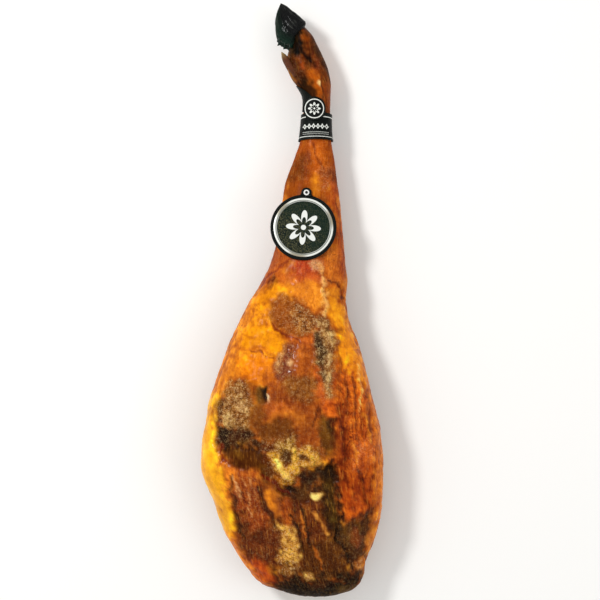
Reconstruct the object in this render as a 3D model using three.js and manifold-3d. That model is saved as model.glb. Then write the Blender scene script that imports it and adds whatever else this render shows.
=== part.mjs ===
// A whole cured ham on the bone, lying on its rind with the lean face up.
// Millimetres. +Y runs from the butt to the toes, +Z is up, and the ham rests on z = 0.
// The origin is under the middle of its bounding box.
import * as THREE from "three";
import { mergeVertices } from "three/addons/utils/BufferGeometryUtils.js";
import Module from "manifold-3d";

const wasm = await Module();
wasm.setup();

// ---------- Driving dimensions ----------

// Ribs across the leg, from the butt to the core of the toes:
// left edge x, y, lowest level, then right edge x, y, highest level.
const ribs = [
  [32, -428.5, 54, 32, -428.5, 54],
  [8, -427, 41, 60, -427, 68],
  [-22, -418, 27, 86, -419, 80],
  [-50, -403.5, 16, 101, -404, 91],
  [-73, -375, 7, 107, -377, 101],
  [-90, -346, 1, 118, -347, 108],
  [-103, -317, -2, 126, -317, 114],
  [-113, -288, -4, 129.5, -288, 119],
  [-126, -259, -6, 130.5, -259, 123],
  [-130.5, -231, -7, 130.5, -231, 126],
  [-129, -202, -7, 128, -202, 128],
  [-124, -173, -6, 123.5, -173, 128.5],
  [-119, -144, -5, 116, -144, 127],
  [-110, -115, -3, 108, -115, 123],
  [-100, -87, -1, 101.5, -87, 117.5],
  [-89, -58, 2, 93, -58, 110.5],
  [-75.5, -29, 6, 82, -29, 103],
  [-61, 0, 10, 77.5, 0, 96],
  [-43, 28.5, 14, 79.5, 28.5, 89.5],
  [-30, 57, 17, 76, 57, 84],
  [-22.5, 86, 20, 74, 86, 79.5],
  [-17.5, 115, 22, 71, 115, 76],
  [-14.5, 144, 24, 68.5, 144, 73],
  [-9.5, 172.5, 26, 64.5, 172.5, 70],
  [1, 201, 27, 61, 201, 67],
  [10, 226, 28, 56.5, 226, 64.5],
  [13.5, 247, 28, 54.5, 247, 63],
  [15.5, 273, 27.5, 54.5, 273, 62],
  [15.5, 292, 26.5, 55, 292, 62],
  [10, 305, 25.5, 55.5, 311, 63],
  [-0.5, 319, 24.5, 54, 324, 64.5],
  [-7, 333, 24, 51, 336, 65.5],
  [-8, 345, 24, 46.5, 347, 66],
  [-7, 356, 24, 41, 359, 66],
  [-4, 366, 24.5, 35, 371, 65.5],
  [-3, 374, 25, 29.5, 382, 65],
  [-5, 383, 28, 20, 393, 62],
  [-6, 391, 34, 10, 401, 56],
  [0, 400, 45, 0, 400, 45],
];
const rowsPerRib = 2;
const sides = 44;
const sideLevel = 0.45; // share of the height at which the leg is widest
const bottomSquareness = 2.1; // superellipse exponents, 2 being an ellipse
const shankSquareness = 2.1;
const bodySquareness = 2.55;
const bodyEndsAt = -60; // y where the flat-topped body starts to turn into the round shank
const shankStartsAt = 90;

// Broad dips in the lean face: centre x, y, reach along x and y, depth.
const dips = [
  [15, -262, 62, 46, 7],
  [-62, -196, 44, 26, 4],
  [62, -262, 20, 70, 4],
];

// Ribs of the upper toe's horn: heel side x, y, lowest level, then front side x, y, highest level.
const clawRibs = [
  [2, 363, 46.5, 19.5, 398, 67],
  [-8, 368, 46.5, 18, 401.5, 67.5],
  [-18, 375, 46.5, 13.5, 406, 67],
  [-22.6, 386, 46.8, 6.5, 412, 65.5],
  [-24, 400, 47.2, -2, 418.6, 62.5],
  [-23, 414, 48, -9, 424.8, 58],
  [-17, 429, 51.5, -17, 429, 51.5],
];
const clawSides = 22;
const toeMidLevel = 45; // the lower toe mirrors the upper one about this level
const lowerToeShift = new THREE.Vector3(-1.2, -2.5, 0);

// Centre line and radii of the upper dewclaw, from inside the leg to its tip.
const dewclawLine = [
  [5, 324, 55],
  [-2, 335, 57],
  [-8.5, 345.5, 58.5],
  [-13, 352.5, 59],
  [-15.8, 357, 58.5],
];
const dewclawRadii = [6, 6.5, 5, 3, 0];
const dewclawSides = 14;

const gap = 0.35; // kept between neighbouring pieces

// The label wraps the shank loosely between these ribs and bows up towards its middle.
const labelFrom = 25.15;
const labelTo = 26.78;
const labelBow = 0.09; // in ribs
const labelThickness = 0.9;
const labelRise = 2.1; // off the skin, so that the strap passes under it

// The seal strap lies in a slanted loop round the shank, from under the label on the
// right to well above it on the heel side.
const strapMiddle = 27.45; // in ribs, as is all but the thickness
const strapReach = 1.3; // above the middle on the left, and below it on the right
const strapHalfWidth = 0.62;
const strapThickness = 1.2;
const sealHead = {
  length: 14,
  width: 15,
  height: 6,
  bite: 0.5, // how far the lock reaches into the strap
  tail: 13,
  tailWidth: 10.5,
  tailThickness: 1.4,
  tailLevel: 5, // below the strap's outer face
};

// The badge is a round of stiff film, bent over the label and the strap.
const badge = { radius: 17.2, thickness: 0.9, bend: 27, x: 31.4, y: 275 };

const medallion = {
  x: 15.7,
  y: 103.4,
  radius: 47.3,
  thickness: 3.2,
  rimWidth: 4.3,
  rimHeight: 0.8, // above the field
  bevel: 0.6,
  lugRadius: 7.4,
  lugReach: 50.6, // from the disc's middle to the eyelet's
  lugWaist: 9.99, // half the lug's width where it leaves the rim
  lugOverlap: 2.8, // of the lug on the rim
  lean: THREE.MathUtils.degToRad(-4.9), // turned in its own plane
  ringOuter: 42.6,
  ringInner: 37.4,
  ringHeight: 0.9,
};
const eyelet = { flange: 4.1, barrel: 2.3, bore: 1.5, flangeHeight: 0.7, holeRadius: 2.65 };
const pin = { headRadius: 2, headHeight: 0.9, radius: 1.1, depth: 17 };
const tagSlopeRibs = [19.5, 21.5]; // the shank's slope under the medallion is taken between these

// ---------- Shared helpers ----------

// A closed surface through rings of points, each end closed by a fan round its own middle point.
function loft(rings, start, end) {
  const around = rings[0].length;
  const points = [...rings.flat(), start, end];
  const index = [];
  for (let r = 0; r + 1 < rings.length; r++)
    for (let c = 0; c < around; c++) {
      const next = (c + 1) % around;
      const [a, b] = [r * around + c, r * around + next];
      index.push(a, b + around, b, a, a + around, b + around);
    }
  const [first, last] = [rings.length * around, rings.length * around + 1];
  const lastRing = (rings.length - 1) * around;
  for (let c = 0; c < around; c++) {
    const next = (c + 1) % around;
    index.push(first, c, next, last, lastRing + next, lastRing + c);
  }
  return new THREE.BufferGeometry().setFromPoints(points).setIndex(index);
}

// A closed band of rings, the last joined to the first.
function bandOf(rings) {
  const around = rings[0].length;
  const index = [];
  rings.forEach((_, r) => {
    const up = ((r + 1) % rings.length) * around;
    for (let c = 0; c < around; c++) {
      const next = (c + 1) % around;
      const [a, b] = [r * around + c, r * around + next];
      index.push(a, up + next, b, a, up + c, up + next);
    }
  });
  return new THREE.BufferGeometry().setFromPoints(rings.flat()).setIndex(index);
}

function toSolid(geometry) {
  const bare = geometry.clone();
  bare.deleteAttribute("normal");
  bare.deleteAttribute("uv");
  const merged = mergeVertices(bare, 1e-4);
  return new wasm.Manifold(
    new wasm.Mesh({
      numProp: 3,
      vertProperties: merged.attributes.position.array,
      triVerts: new Uint32Array(merged.index.array),
    }),
  );
}

function toGeometry(solid) {
  const { vertProperties, triVerts } = solid.getMesh();
  return new THREE.BufferGeometry()
    .setAttribute("position", new THREE.BufferAttribute(vertProperties, 3))
    .setIndex(new THREE.BufferAttribute(triVerts, 1));
}

// The same closed surface moved out along its normals.
function grown(geometry, by) {
  const out = geometry.clone();
  out.computeVertexNormals();
  const { position, normal } = out.attributes;
  for (let i = 0; i < position.count; i++)
    position.setXYZ(
      i,
      position.getX(i) + by * normal.getX(i),
      position.getY(i) + by * normal.getY(i),
      position.getZ(i) + by * normal.getZ(i),
    );
  return out;
}

function material(color, roughness, metalness = 0) {
  return new THREE.MeshStandardMaterial({ color, roughness, metalness });
}

function part(name, geometry, look) {
  const mesh = new THREE.Mesh(geometry, look);
  mesh.name = name;
  return mesh;
}

const power = (value, exponent) => Math.sign(value) * Math.abs(value) ** exponent;

// ---------- The leg ----------

function edgesOf(table) {
  const curve = (rows) =>
    new THREE.CatmullRomCurve3(
      rows.map((p) => new THREE.Vector3(...p)),
      false,
      "catmullrom",
      0.5,
    );
  return [
    curve(table.map((r) => r.slice(0, 3))),
    curve(table.map((r) => r.slice(3))),
  ];
}

// A ring of a rib: a superellipse between the two edges and the two levels, moved out by grow.
function ring([left, right], count, at, around, topSquareness, grow = 0) {
  const a = left.getPoint(at / count);
  const b = right.getPoint(at / count);
  const [low, high] = [a.z - grow, b.z + grow];
  const side = low + (high - low) * sideLevel;
  const outwards = new THREE.Vector2(b.x - a.x, b.y - a.y).normalize().multiplyScalar(grow);
  return Array.from({ length: around }, (_, i) => {
    const angle = (2 * Math.PI * i) / around;
    const upper = Math.sin(angle) >= 0;
    const round = 2 / (upper ? topSquareness : bottomSquareness);
    const across = 0.5 + 0.5 * power(Math.cos(angle), round);
    const rise = power(Math.sin(angle), round);
    return new THREE.Vector3(
      THREE.MathUtils.lerp(a.x - outwards.x, b.x + outwards.x, across),
      THREE.MathUtils.lerp(a.y - outwards.y, b.y + outwards.y, across),
      side + rise * (upper ? high - side : side - low),
    );
  });
}

const legEdges = edgesOf(ribs);
const ribCount = ribs.length - 1;

function legRing(at, grow = 0, around = sides) {
  const y = legEdges[0].getPoint(at / ribCount).y;
  const shank = THREE.MathUtils.smoothstep(y, bodyEndsAt, shankStartsAt);
  const top = THREE.MathUtils.lerp(bodySquareness, shankSquareness, shank);
  return ring(legEdges, ribCount, at, around, top, grow);
}

// Lowers the lean face into its broad dips and flattens the rind where it rests on the floor.
function settle(point) {
  let { z } = point;
  for (const [x, y, alongX, alongY, depth] of dips) {
    const distance = ((point.x - x) / alongX) ** 2 + ((point.y - y) / alongY) ** 2;
    z -= depth * Math.exp(-distance) * THREE.MathUtils.smoothstep(point.z, 65, 105);
  }
  return point.setZ(Math.max(z, 0));
}

function legSurface() {
  const rings = [];
  for (let i = 1; i < ribCount * rowsPerRib; i++)
    rings.push(legRing(i / rowsPerRib).map(settle));
  const [butt, toes] = [legRing(0)[0], legRing(ribCount)[0]];
  return loft(rings, butt, toes);
}

const legShape = legSurface();
const legCutter = toSolid(grown(legShape, gap));

// ---------- Horn: two toes and two dewclaws ----------

function clawShape() {
  const edges = edgesOf(clawRibs);
  const count = clawRibs.length - 1;
  const rings = [];
  for (let at = 0; at < count - 0.2; at += 0.5) rings.push(ring(edges, count, at, clawSides, 2.2));
  const base = rings[0].reduce((sum, p) => sum.add(p), new THREE.Vector3());
  return loft(rings, base.divideScalar(clawSides), edges[0].getPoint(1));
}

function dewclawShape() {
  const line = new THREE.CatmullRomCurve3(dewclawLine.map((p) => new THREE.Vector3(...p)));
  const last = dewclawLine.length - 1;
  const rings = dewclawRadii.slice(0, last).map((radius, i) => {
    const along = line.getTangent(i / last);
    const turn = new THREE.Quaternion().setFromUnitVectors(new THREE.Vector3(0, 0, 1), along);
    return Array.from({ length: dewclawSides }, (_, k) => {
      const angle = (-2 * Math.PI * k) / dewclawSides;
      return new THREE.Vector3(radius * Math.cos(angle), radius * Math.sin(angle), 0)
        .applyQuaternion(turn)
        .add(line.getPoint(i / last));
    });
  });
  return loft(rings, line.getPoint(0), line.getPoint(1));
}

// The same horn on the lower toe: mirrored about the level between the toes.
function mirrored(solid) {
  return solid.mirror([0, 0, 1]).translate([0, 0, 2 * toeMidLevel]);
}

// ---------- Paper and plastic round the shank ----------

// A sleeve on the skin, its lower and upper edges given for each angle, in ribs.
function sleeve(lower, upper, rise, thickness, steps) {
  const around = 48;
  const column = (share, grow) =>
    Array.from({ length: around }, (_, i) => {
      const angle = (2 * Math.PI * i) / around;
      const at = THREE.MathUtils.lerp(lower(angle), upper(angle), share);
      return legRing(at, grow, around)[i];
    });
  const rings = [];
  for (let i = 0; i <= steps; i++) rings.push(column(i / steps, rise + thickness));
  for (let i = steps; i >= 0; i--) rings.push(column(i / steps, rise));
  return bandOf(rings);
}

function labelShape() {
  const bow = (angle) => labelBow * Math.max(0, Math.sin(angle));
  return sleeve(
    (angle) => labelFrom + bow(angle),
    (angle) => labelTo + bow(angle),
    labelRise,
    labelThickness,
    4,
  );
}

function strapShape() {
  const middle = (angle) => strapMiddle - strapReach * Math.cos(angle);
  return sleeve(
    (angle) => middle(angle) - strapHalfWidth,
    (angle) => middle(angle) + strapHalfWidth,
    gap + 0.1,
    strapThickness,
    3,
  );
}

// The strap, with its lock and its short tail under the shank.
function strapSolid() {
  const under = legRing(strapMiddle, gap + strapThickness, 4)[3];
  const left = legRing(strapMiddle + strapReach)[sides / 2];
  const right = legRing(strapMiddle - strapReach)[0];
  const slant = Math.atan2(right.y - left.y, right.x - left.x);
  const { length, width, height, bite, tail, tailWidth, tailThickness, tailLevel } = sealHead;
  const lock = new THREE.BoxGeometry(length, width, height).translate(0, 0, bite - height / 2);
  const end = new THREE.BoxGeometry(length + tail, tailWidth, tailThickness);
  end.translate(-tail / 2, 0, -tailLevel);
  const place = (geometry) => toSolid(geometry.rotateZ(slant).translate(under.x, under.y, under.z));
  return toSolid(strapShape()).add(place(lock)).add(place(end));
}

// ---------- Badge and medallion ----------

// How far points under a piece must rise to clear everything below them by the gap.
function liftOver(below, samples) {
  const ray = new THREE.Raycaster();
  const down = new THREE.Vector3(0, 0, -1);
  const lifts = samples.map((sample) => {
    ray.set(new THREE.Vector3(sample.x, sample.y, 300), down);
    const [hit] = ray.intersectObjects(below);
    return hit ? hit.point.z - sample.z : -Infinity;
  });
  return Math.max(...lifts) + gap;
}

// Points spread over a flat disc, in its own plane.
function discSamples(radius, middleY = 0, rings = 6, spokes = 36) {
  const samples = [new THREE.Vector3(0, middleY, 0)];
  for (let r = 1; r <= rings; r++)
    for (let s = 0; s < spokes; s++) {
      const angle = (2 * Math.PI * s) / spokes;
      const reach = (radius * r) / rings;
      samples.push(new THREE.Vector3(reach * Math.cos(angle), middleY + reach * Math.sin(angle), 0));
    }
  return samples;
}

const lathe = (profile, segments) =>
  new THREE.LatheGeometry(
    profile.map((p) => new THREE.Vector2(...p)),
    segments,
  ).rotateX(Math.PI / 2);

// Bends a flat piece over a cylinder that lies along y, touching it along x = 0.
function bent(point, radius) {
  const angle = point.x / radius;
  const reach = radius + point.z;
  return point.set(reach * Math.sin(angle), point.y, reach * Math.cos(angle) - radius);
}

function badgeShape() {
  const { radius, thickness, bend } = badge;
  const reaches = [0, 0.3, 0.55, 0.8, 1].map((share) => share * radius);
  const under = reaches.map((reach) => [reach, 0]);
  const over = reaches.map((reach) => [reach, thickness]).reverse();
  const disc = lathe([...under, ...over], 36);
  const { position } = disc.attributes;
  const point = new THREE.Vector3();
  for (let i = 0; i < position.count; i++) {
    bent(point.fromBufferAttribute(position, i), bend);
    position.setXYZ(i, point.x, point.y, point.z);
  }
  return disc;
}

// A disc with a raised rim and a groove for the ring, and a lug with the eyelet's hole.
function medallionSolid() {
  const { radius, thickness, rimWidth, rimHeight, bevel } = medallion;
  const { ringOuter, ringInner, ringHeight } = medallion;
  const { lugRadius, lugReach, lugWaist, lugOverlap } = medallion;
  const field = thickness - rimHeight;
  const disc = lathe(
    [
      [0, 0],
      [radius - bevel, 0],
      [radius, bevel],
      [radius, thickness - bevel],
      [radius - bevel, thickness],
      [radius - rimWidth + bevel, thickness],
      [ringOuter + gap, field],
      [ringOuter + gap, field - ringHeight],
      [ringInner - gap, field - ringHeight],
      [ringInner - gap, field],
      [0, field],
    ],
    72,
  );
  const shape = new THREE.Shape();
  shape.moveTo(-lugWaist, radius - lugOverlap);
  shape.lineTo(lugWaist, radius - lugOverlap);
  shape.quadraticCurveTo(lugRadius, radius + 1, lugRadius, lugReach);
  shape.absarc(0, lugReach, lugRadius, 0, Math.PI, false);
  shape.quadraticCurveTo(-lugRadius, radius + 1, -lugWaist, radius - lugOverlap);
  shape.holes.push(new THREE.Path().absarc(0, lugReach, eyelet.holeRadius, 0, 2 * Math.PI, true));
  const lug = new THREE.ExtrudeGeometry(shape, {
    depth: thickness,
    bevelEnabled: false,
    curveSegments: 10,
  });
  return toSolid(disc).add(toSolid(lug));
}

function medallionRingShape() {
  const { ringOuter, ringInner, ringHeight, thickness, rimHeight } = medallion;
  const floor = thickness - rimHeight - ringHeight + gap;
  const [middle, top] = [(ringOuter + ringInner) / 2, floor + ringHeight];
  return lathe(
    [
      [ringInner, floor],
      [ringOuter, floor],
      [ringOuter, top - 0.2],
      [middle + 0.4, top],
      [middle - 0.4, top],
      [ringInner, top - 0.2],
      [ringInner, floor],
    ],
    72,
  );
}

function eyeletShape() {
  const { flange, barrel, bore, flangeHeight } = eyelet;
  const face = medallion.thickness + gap;
  return lathe(
    [
      [bore, 0.2],
      [barrel, 0.2],
      [barrel, face],
      [flange, face],
      [flange - 0.4, face + flangeHeight],
      [bore + 0.3, face + flangeHeight],
      [bore, face + flangeHeight - 0.3],
      [bore, 0.2],
    ],
    20,
  );
}

function pinProfile(clearance) {
  const seat = medallion.thickness + gap + eyelet.flangeHeight + gap;
  const [radius, depth] = [pin.radius + clearance, -pin.depth - clearance];
  return [
    [0, depth],
    [radius, depth + radius],
    [radius, seat],
    [pin.headRadius, seat],
    [pin.headRadius - 0.4, seat + pin.headHeight],
    [0, seat + pin.headHeight],
  ];
}

// ---------- Assembly ----------

const ham = part("ham", legShape, material(0xb4641c, 0.45));
const label = part("label_band", labelShape(), material(0x11140f, 0.5));
const strap = part("seal_strap", toGeometry(strapSolid()), material(0x0c100e, 0.4));

const badgeMesh = part("label_badge", badgeShape(), material(0x0f120f, 0.45));
badgeMesh.position.set(badge.x, badge.y, 0);
const badgeSamples = discSamples(badge.radius).map((point) =>
  bent(point, badge.bend).add(badgeMesh.position),
);
badgeMesh.position.z = liftOver([ham, label, strap], badgeSamples);

// The medallion leans with the slope of the shank under it.
const tagAt = tagSlopeRibs.map((at) => legRing(at)[sides / 4]);
const slope = (tagAt[1].z - tagAt[0].z) / (tagAt[1].y - tagAt[0].y);
const tag = new THREE.Group();
tag.position.set(medallion.x, medallion.y, 0);
tag.rotation.set(Math.atan(slope), 0, medallion.lean);
tag.updateMatrixWorld();
const tagSamples = [
  ...discSamples(medallion.radius),
  ...discSamples(medallion.lugRadius, medallion.lugReach, 2, 12),
].map((point) => point.applyMatrix4(tag.matrixWorld));
tag.position.z = liftOver([ham, label], tagSamples);

const plastic = material(0x141a15, 0.55);
const disc = part("medallion", toGeometry(medallionSolid()), plastic);
const tagRing = part("medallion_ring", medallionRingShape(), material(0xd9d9d2, 0.3, 0.8));
const grommet = part("medallion_eyelet", eyeletShape(), material(0xe6e6e0, 0.35, 0.6));
const tagPin = part("medallion_pin", lathe(pinProfile(0), 14), material(0x202020, 0.4, 0.9));
grommet.position.y = medallion.lugReach;
tagPin.position.y = medallion.lugReach;
tag.add(disc, tagRing, grommet, tagPin);
tag.updateMatrixWorld(true);

// The pin's hole goes into the leg.
const pinHole = lathe(pinProfile(gap), 14).applyMatrix4(tagPin.matrixWorld);
ham.geometry = toGeometry(toSolid(legShape).subtract(toSolid(pinHole)));

const upperClaw = toSolid(clawShape()).subtract(legCutter);
const lowerClaw = mirrored(toSolid(clawShape())).translate(lowerToeShift.toArray());
const upperDewclaw = toSolid(dewclawShape());
const horn = material(0x0a0d0b, 0.4);
const paleHorn = material(0x6b4a26, 0.5);

const root = new THREE.Group();
root.add(
  ham,
  part("claw_upper", toGeometry(upperClaw), horn),
  part("claw_lower", toGeometry(lowerClaw.subtract(legCutter)), horn),
  part("dewclaw_upper", toGeometry(upperDewclaw.subtract(legCutter)), paleHorn),
  part("dewclaw_lower", toGeometry(mirrored(upperDewclaw).subtract(legCutter)), paleHorn),
  label,
  badgeMesh,
  strap,
  tag,
);

export default root;
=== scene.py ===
import math

import bpy
import numpy as np
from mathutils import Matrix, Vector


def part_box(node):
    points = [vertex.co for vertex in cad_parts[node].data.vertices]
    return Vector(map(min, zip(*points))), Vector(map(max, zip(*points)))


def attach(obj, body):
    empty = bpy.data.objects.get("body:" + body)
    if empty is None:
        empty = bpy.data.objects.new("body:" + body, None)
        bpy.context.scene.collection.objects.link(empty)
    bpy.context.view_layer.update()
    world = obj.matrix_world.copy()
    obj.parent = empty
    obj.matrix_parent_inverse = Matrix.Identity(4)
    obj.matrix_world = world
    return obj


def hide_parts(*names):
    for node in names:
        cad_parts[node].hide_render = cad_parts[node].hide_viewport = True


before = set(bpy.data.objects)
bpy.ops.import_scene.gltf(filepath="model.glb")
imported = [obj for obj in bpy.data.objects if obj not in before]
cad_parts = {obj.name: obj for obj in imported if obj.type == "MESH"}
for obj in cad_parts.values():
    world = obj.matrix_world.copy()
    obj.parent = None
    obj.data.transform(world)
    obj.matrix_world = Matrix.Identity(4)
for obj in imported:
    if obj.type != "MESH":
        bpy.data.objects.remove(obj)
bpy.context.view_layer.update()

mm = 0.001
print("frame loaded:", ", ".join(sorted(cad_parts)))


# shared number work

def smoothStep(low, high, value):
    share = np.clip((value - low) / (high - low), 0.0, 1.0)
    return share * share * (3.0 - 2.0 * share)


def linearColour(colour):
    # screen values 0 to 255 turned into light: ((v + 0.055) / 1.055) to the 2.4
    return ((np.asarray(colour, float) / 255.0 + 0.055) / 1.055) ** 2.4


def gradientNoise(points, seed):
    # each lattice corner holds a fixed random direction; its dot product with the offset
    # from that corner is blended over the cell's eight corners with a quintic ease
    rng = np.random.default_rng(seed)
    shuffle = rng.permutation(512)
    directions = rng.normal(size=(512, 3))
    directions /= np.linalg.norm(directions, axis=1)[:, None]
    cell = np.floor(points).astype(int)
    inside = points - cell
    ease = inside ** 3 * (inside * (inside * 6.0 - 15.0) + 10.0)
    total = np.zeros(len(points))
    for corner in np.ndindex(2, 2, 2):
        at = cell + corner
        key = shuffle[(shuffle[(shuffle[at[:, 0] & 511] + at[:, 1]) & 511] + at[:, 2]) & 511]
        weight = np.prod(np.where(np.array(corner) == 1, ease, 1.0 - ease), axis=1)
        total += weight * np.einsum("ij,ij->i", directions[key], inside - corner)
    return total * 1.6


def fractalNoise(points, size, seed, octaves=4, fade=0.5):
    # the same noise at halving sizes, each weaker by fade
    total, gain, norm = 0.0, 1.0, 0.0
    for octave in range(octaves):
        total = total + gain * gradientNoise(points * (2.0 ** octave / size), seed + octave)
        norm += gain
        gain *= fade
    return total / norm


def splinePoints(knots, at):
    # uniform Catmull-Rom through the rows of knots, at fractional row numbers
    knots = np.asarray(knots, float)
    rows = np.vstack([2 * knots[0] - knots[1], knots, 2 * knots[-1] - knots[-2]])
    start = np.clip(np.floor(at).astype(int), 0, len(knots) - 2)
    t = (at - start)[:, None]
    a, b, c, d = (rows[start + step] for step in range(4))
    return 0.5 * (2 * b + (c - a) * t + (2 * a - 5 * b + 4 * c - d) * t ** 2
                  + (3 * b - a - 3 * c + d) * t ** 3)


def roundedOutline(corners, steps=5):
    # a closed Catmull-Rom through the corners
    corners = np.asarray(corners, float)
    looped = np.vstack([corners[-1:], corners, corners[:2]])
    at = 1.0 + np.arange(len(corners) * steps) / steps
    return splinePoints(looped, at)


def outlineDistance(x, y, outline):
    # distance to the nearest side of a closed outline, below zero inside it
    nearest = np.full(x.shape, np.inf)
    inside = np.zeros(x.shape, bool)
    for (ax, ay), (bx, by) in zip(outline, np.roll(outline, -1, axis=0)):
        dx, dy = bx - ax, by - ay
        share = np.clip(((x - ax) * dx + (y - ay) * dy) / (dx * dx + dy * dy + 1e-9), 0, 1)
        nearest = np.minimum(nearest, (x - ax - share * dx) ** 2 + (y - ay - share * dy) ** 2)
        if dy:
            inside ^= ((ay > y) != (by > y)) & (x < ax + (y - ay) * dx / dy)
    return np.where(inside, -1.0, 1.0) * np.sqrt(nearest)


def pathDistance(x, y, path):
    # distance to an open path, and the share of its sides passed at the nearest point
    nearest = np.full(x.shape, np.inf)
    passed = np.zeros(x.shape)
    for number, ((ax, ay), (bx, by)) in enumerate(zip(path[:-1], path[1:])):
        dx, dy = bx - ax, by - ay
        share = np.clip(((x - ax) * dx + (y - ay) * dy) / (dx * dx + dy * dy), 0, 1)
        distance = np.hypot(x - ax - share * dx, y - ay - share * dy)
        passed = np.where(distance < nearest, (number + share) / (len(path) - 1), passed)
        nearest = np.minimum(nearest, distance)
    return nearest, passed


# shared mesh work

def gridFaces(rows, columns, closedRows=False):
    # quads of a grid that closes on itself across its columns, and the corners' places on a map
    r = np.arange(rows if closedRows else rows - 1)[:, None] + np.zeros(columns, int)
    c = np.arange(columns)[None, :] + 0 * r
    up, over = (r + 1) % rows, (c + 1) % columns
    quads = np.stack([r * columns + c, up * columns + c, up * columns + over, r * columns + over], -1)
    places = [(c, r), (c, r + 1), (c + 1, r + 1), (c + 1, r)]
    corners = np.stack([np.stack([u / columns, v / rows], -1) for u, v in places], -2)
    return quads.reshape(-1, 4), corners.reshape(-1, 2)


def addMesh(name, points, grid, fans=(), smooth=True):
    # fans are (middle point, ring of vertex numbers) pairs that close an end
    points = np.asarray(points, float).reshape(-1, 3)
    quads, corners = grid
    loops, totals, spots = [quads.ravel()], [np.full(len(quads), 4)], [corners]
    for middle, ring in fans:
        points = np.vstack([points, middle])
        hub = np.full(len(ring), len(points) - 1)
        loops.append(np.stack([hub, ring, np.roll(ring, -1)], axis=1).ravel())
        totals.append(np.full(len(ring), 3))
        share = np.arange(len(ring))[:, None] / len(ring)
        edge = np.hstack([share + 0.5 / len(ring), share, share + 1 / len(ring)])
        spots.append(np.stack([edge.ravel(), np.full(edge.size, 0.999)], axis=1))
    loops, totals = np.concatenate(loops), np.concatenate(totals)
    mesh = bpy.data.meshes.new(name)
    mesh.vertices.add(len(points))
    mesh.vertices.foreach_set("co", points.astype(np.float32).ravel())
    mesh.loops.add(len(loops))
    mesh.loops.foreach_set("vertex_index", loops.astype(np.int32))
    mesh.polygons.add(len(totals))
    starts = np.concatenate([[0], np.cumsum(totals)[:-1]])
    mesh.polygons.foreach_set("loop_start", starts.astype(np.int32))
    mesh.polygons.foreach_set("loop_total", totals.astype(np.int32))
    layer = mesh.uv_layers.new(name="OFBake")
    layer.uv.foreach_set("vector", np.concatenate(spots).astype(np.float32).ravel())
    mesh.update(calc_edges=True)
    mesh.polygons.foreach_set("use_smooth", np.full(len(mesh.polygons), smooth))
    piece = bpy.data.objects.new(name, mesh)
    bpy.context.scene.collection.objects.link(piece)
    return piece


def addAttribute(piece, name, values):
    # one, three or four numbers for each point
    kinds = {1: ("FLOAT", "value"), 3: ("FLOAT_VECTOR", "vector"), 4: ("FLOAT_COLOR", "color")}
    kind, field = kinds[values.shape[-1]]
    attribute = piece.data.attributes.new(name, kind, "POINT")
    attribute.data.foreach_set(field, values.astype(np.float32).ravel())


def addTube(name, grid, middles=None, **attributes):
    # rows of points in millimetres, closed at both ends on their middles. An attribute has a value
    # for each point, and the middles take the first and the last of them.
    rows, columns = grid.shape[:2]
    if middles is None:
        middles = grid[0].mean(axis=0), grid[-1].mean(axis=0)
    ring = np.arange(columns)
    lastRing = (rows - 1) * columns + ring
    ends = [(middles[0] * mm, ring), (middles[1] * mm, lastRing[::-1])]
    piece = addMesh(name, grid * mm, gridFaces(rows, columns), ends)
    for label, values in attributes.items():
        values = values.reshape(rows * columns, -1)
        addAttribute(piece, label, np.vstack([values, values[[0, -1]]]))
    return piece


def wheelPoints(angle, radius, along):
    # points on a cylinder, for noise that closes on itself round a piece
    return np.stack(np.broadcast_arrays(radius * np.cos(angle), radius * np.sin(angle), along), -1)


def gridNoise(grid, size, seed, octaves):
    return fractalNoise(grid.reshape(-1, 3), size, seed, octaves).reshape(grid.shape[:-1])


def addPiece(piece, material, node):
    piece.data.materials.append(material)
    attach(piece, "root")
    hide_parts(node)
    return piece


# shared shader work

def setInputs(tree, made, inputs):
    # an output of another node is linked; colours are given as screen values
    for name, value in inputs.items():
        socket = made.inputs[name]
        if isinstance(value, bpy.types.NodeSocket):
            tree.links.new(value, socket)
        elif socket.type == "RGBA":
            socket.default_value = (*linearColour(value), 1.0)
        else:
            socket.default_value = value


def addNode(tree, kind, inputs=None, **settings):
    made = tree.nodes.new("ShaderNode" + kind)
    for name, value in settings.items():
        setattr(made, name, value)
    setInputs(tree, made, inputs or {})
    return made


def readAttribute(tree, name, output):
    return addNode(tree, "Attribute", attribute_name=name).outputs[output]


def newMaterial(name):
    material = bpy.data.materials.new(name)
    material.use_nodes = True
    tree = material.node_tree
    tree.nodes.clear()
    shader = addNode(tree, "BsdfPrincipled")
    output = addNode(tree, "OutputMaterial")
    tree.links.new(shader.outputs["BSDF"], output.inputs["Surface"])
    return material, tree, shader


def newGroup(name, outputs, **inputs):
    # every group takes a vector and some sizes, and gives numbers
    tree = bpy.data.node_groups.new(name, "ShaderNodeTree")
    tree.interface.new_socket("Vector", in_out="INPUT", socket_type="NodeSocketVector")
    for label, value in inputs.items():
        socket = tree.interface.new_socket(label, in_out="INPUT", socket_type="NodeSocketFloat")
        socket.default_value = value
    for label in outputs:
        tree.interface.new_socket(label, in_out="OUTPUT", socket_type="NodeSocketFloat")
    return tree, tree.nodes.new("NodeGroupInput").outputs, tree.nodes.new("NodeGroupOutput").inputs


def placeGroup(tree, group, inputs):
    return addNode(tree, "Group", inputs, node_tree=group).outputs


def mathNode(tree, operation, first, second=0.5, third=0.5, clamp=False):
    inputs = {0: first, 1: second, 2: third}
    return addNode(tree, "Math", inputs, operation=operation, use_clamp=clamp).outputs[0]


def times(tree, value, *factors):
    for factor in factors:
        value = mathNode(tree, "MULTIPLY", value, factor)
    return value


def inverse(tree, value):
    return mathNode(tree, "SUBTRACT", 1.0, value)


def larger(tree, first, second):
    return mathNode(tree, "MAXIMUM", first, second)


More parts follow.
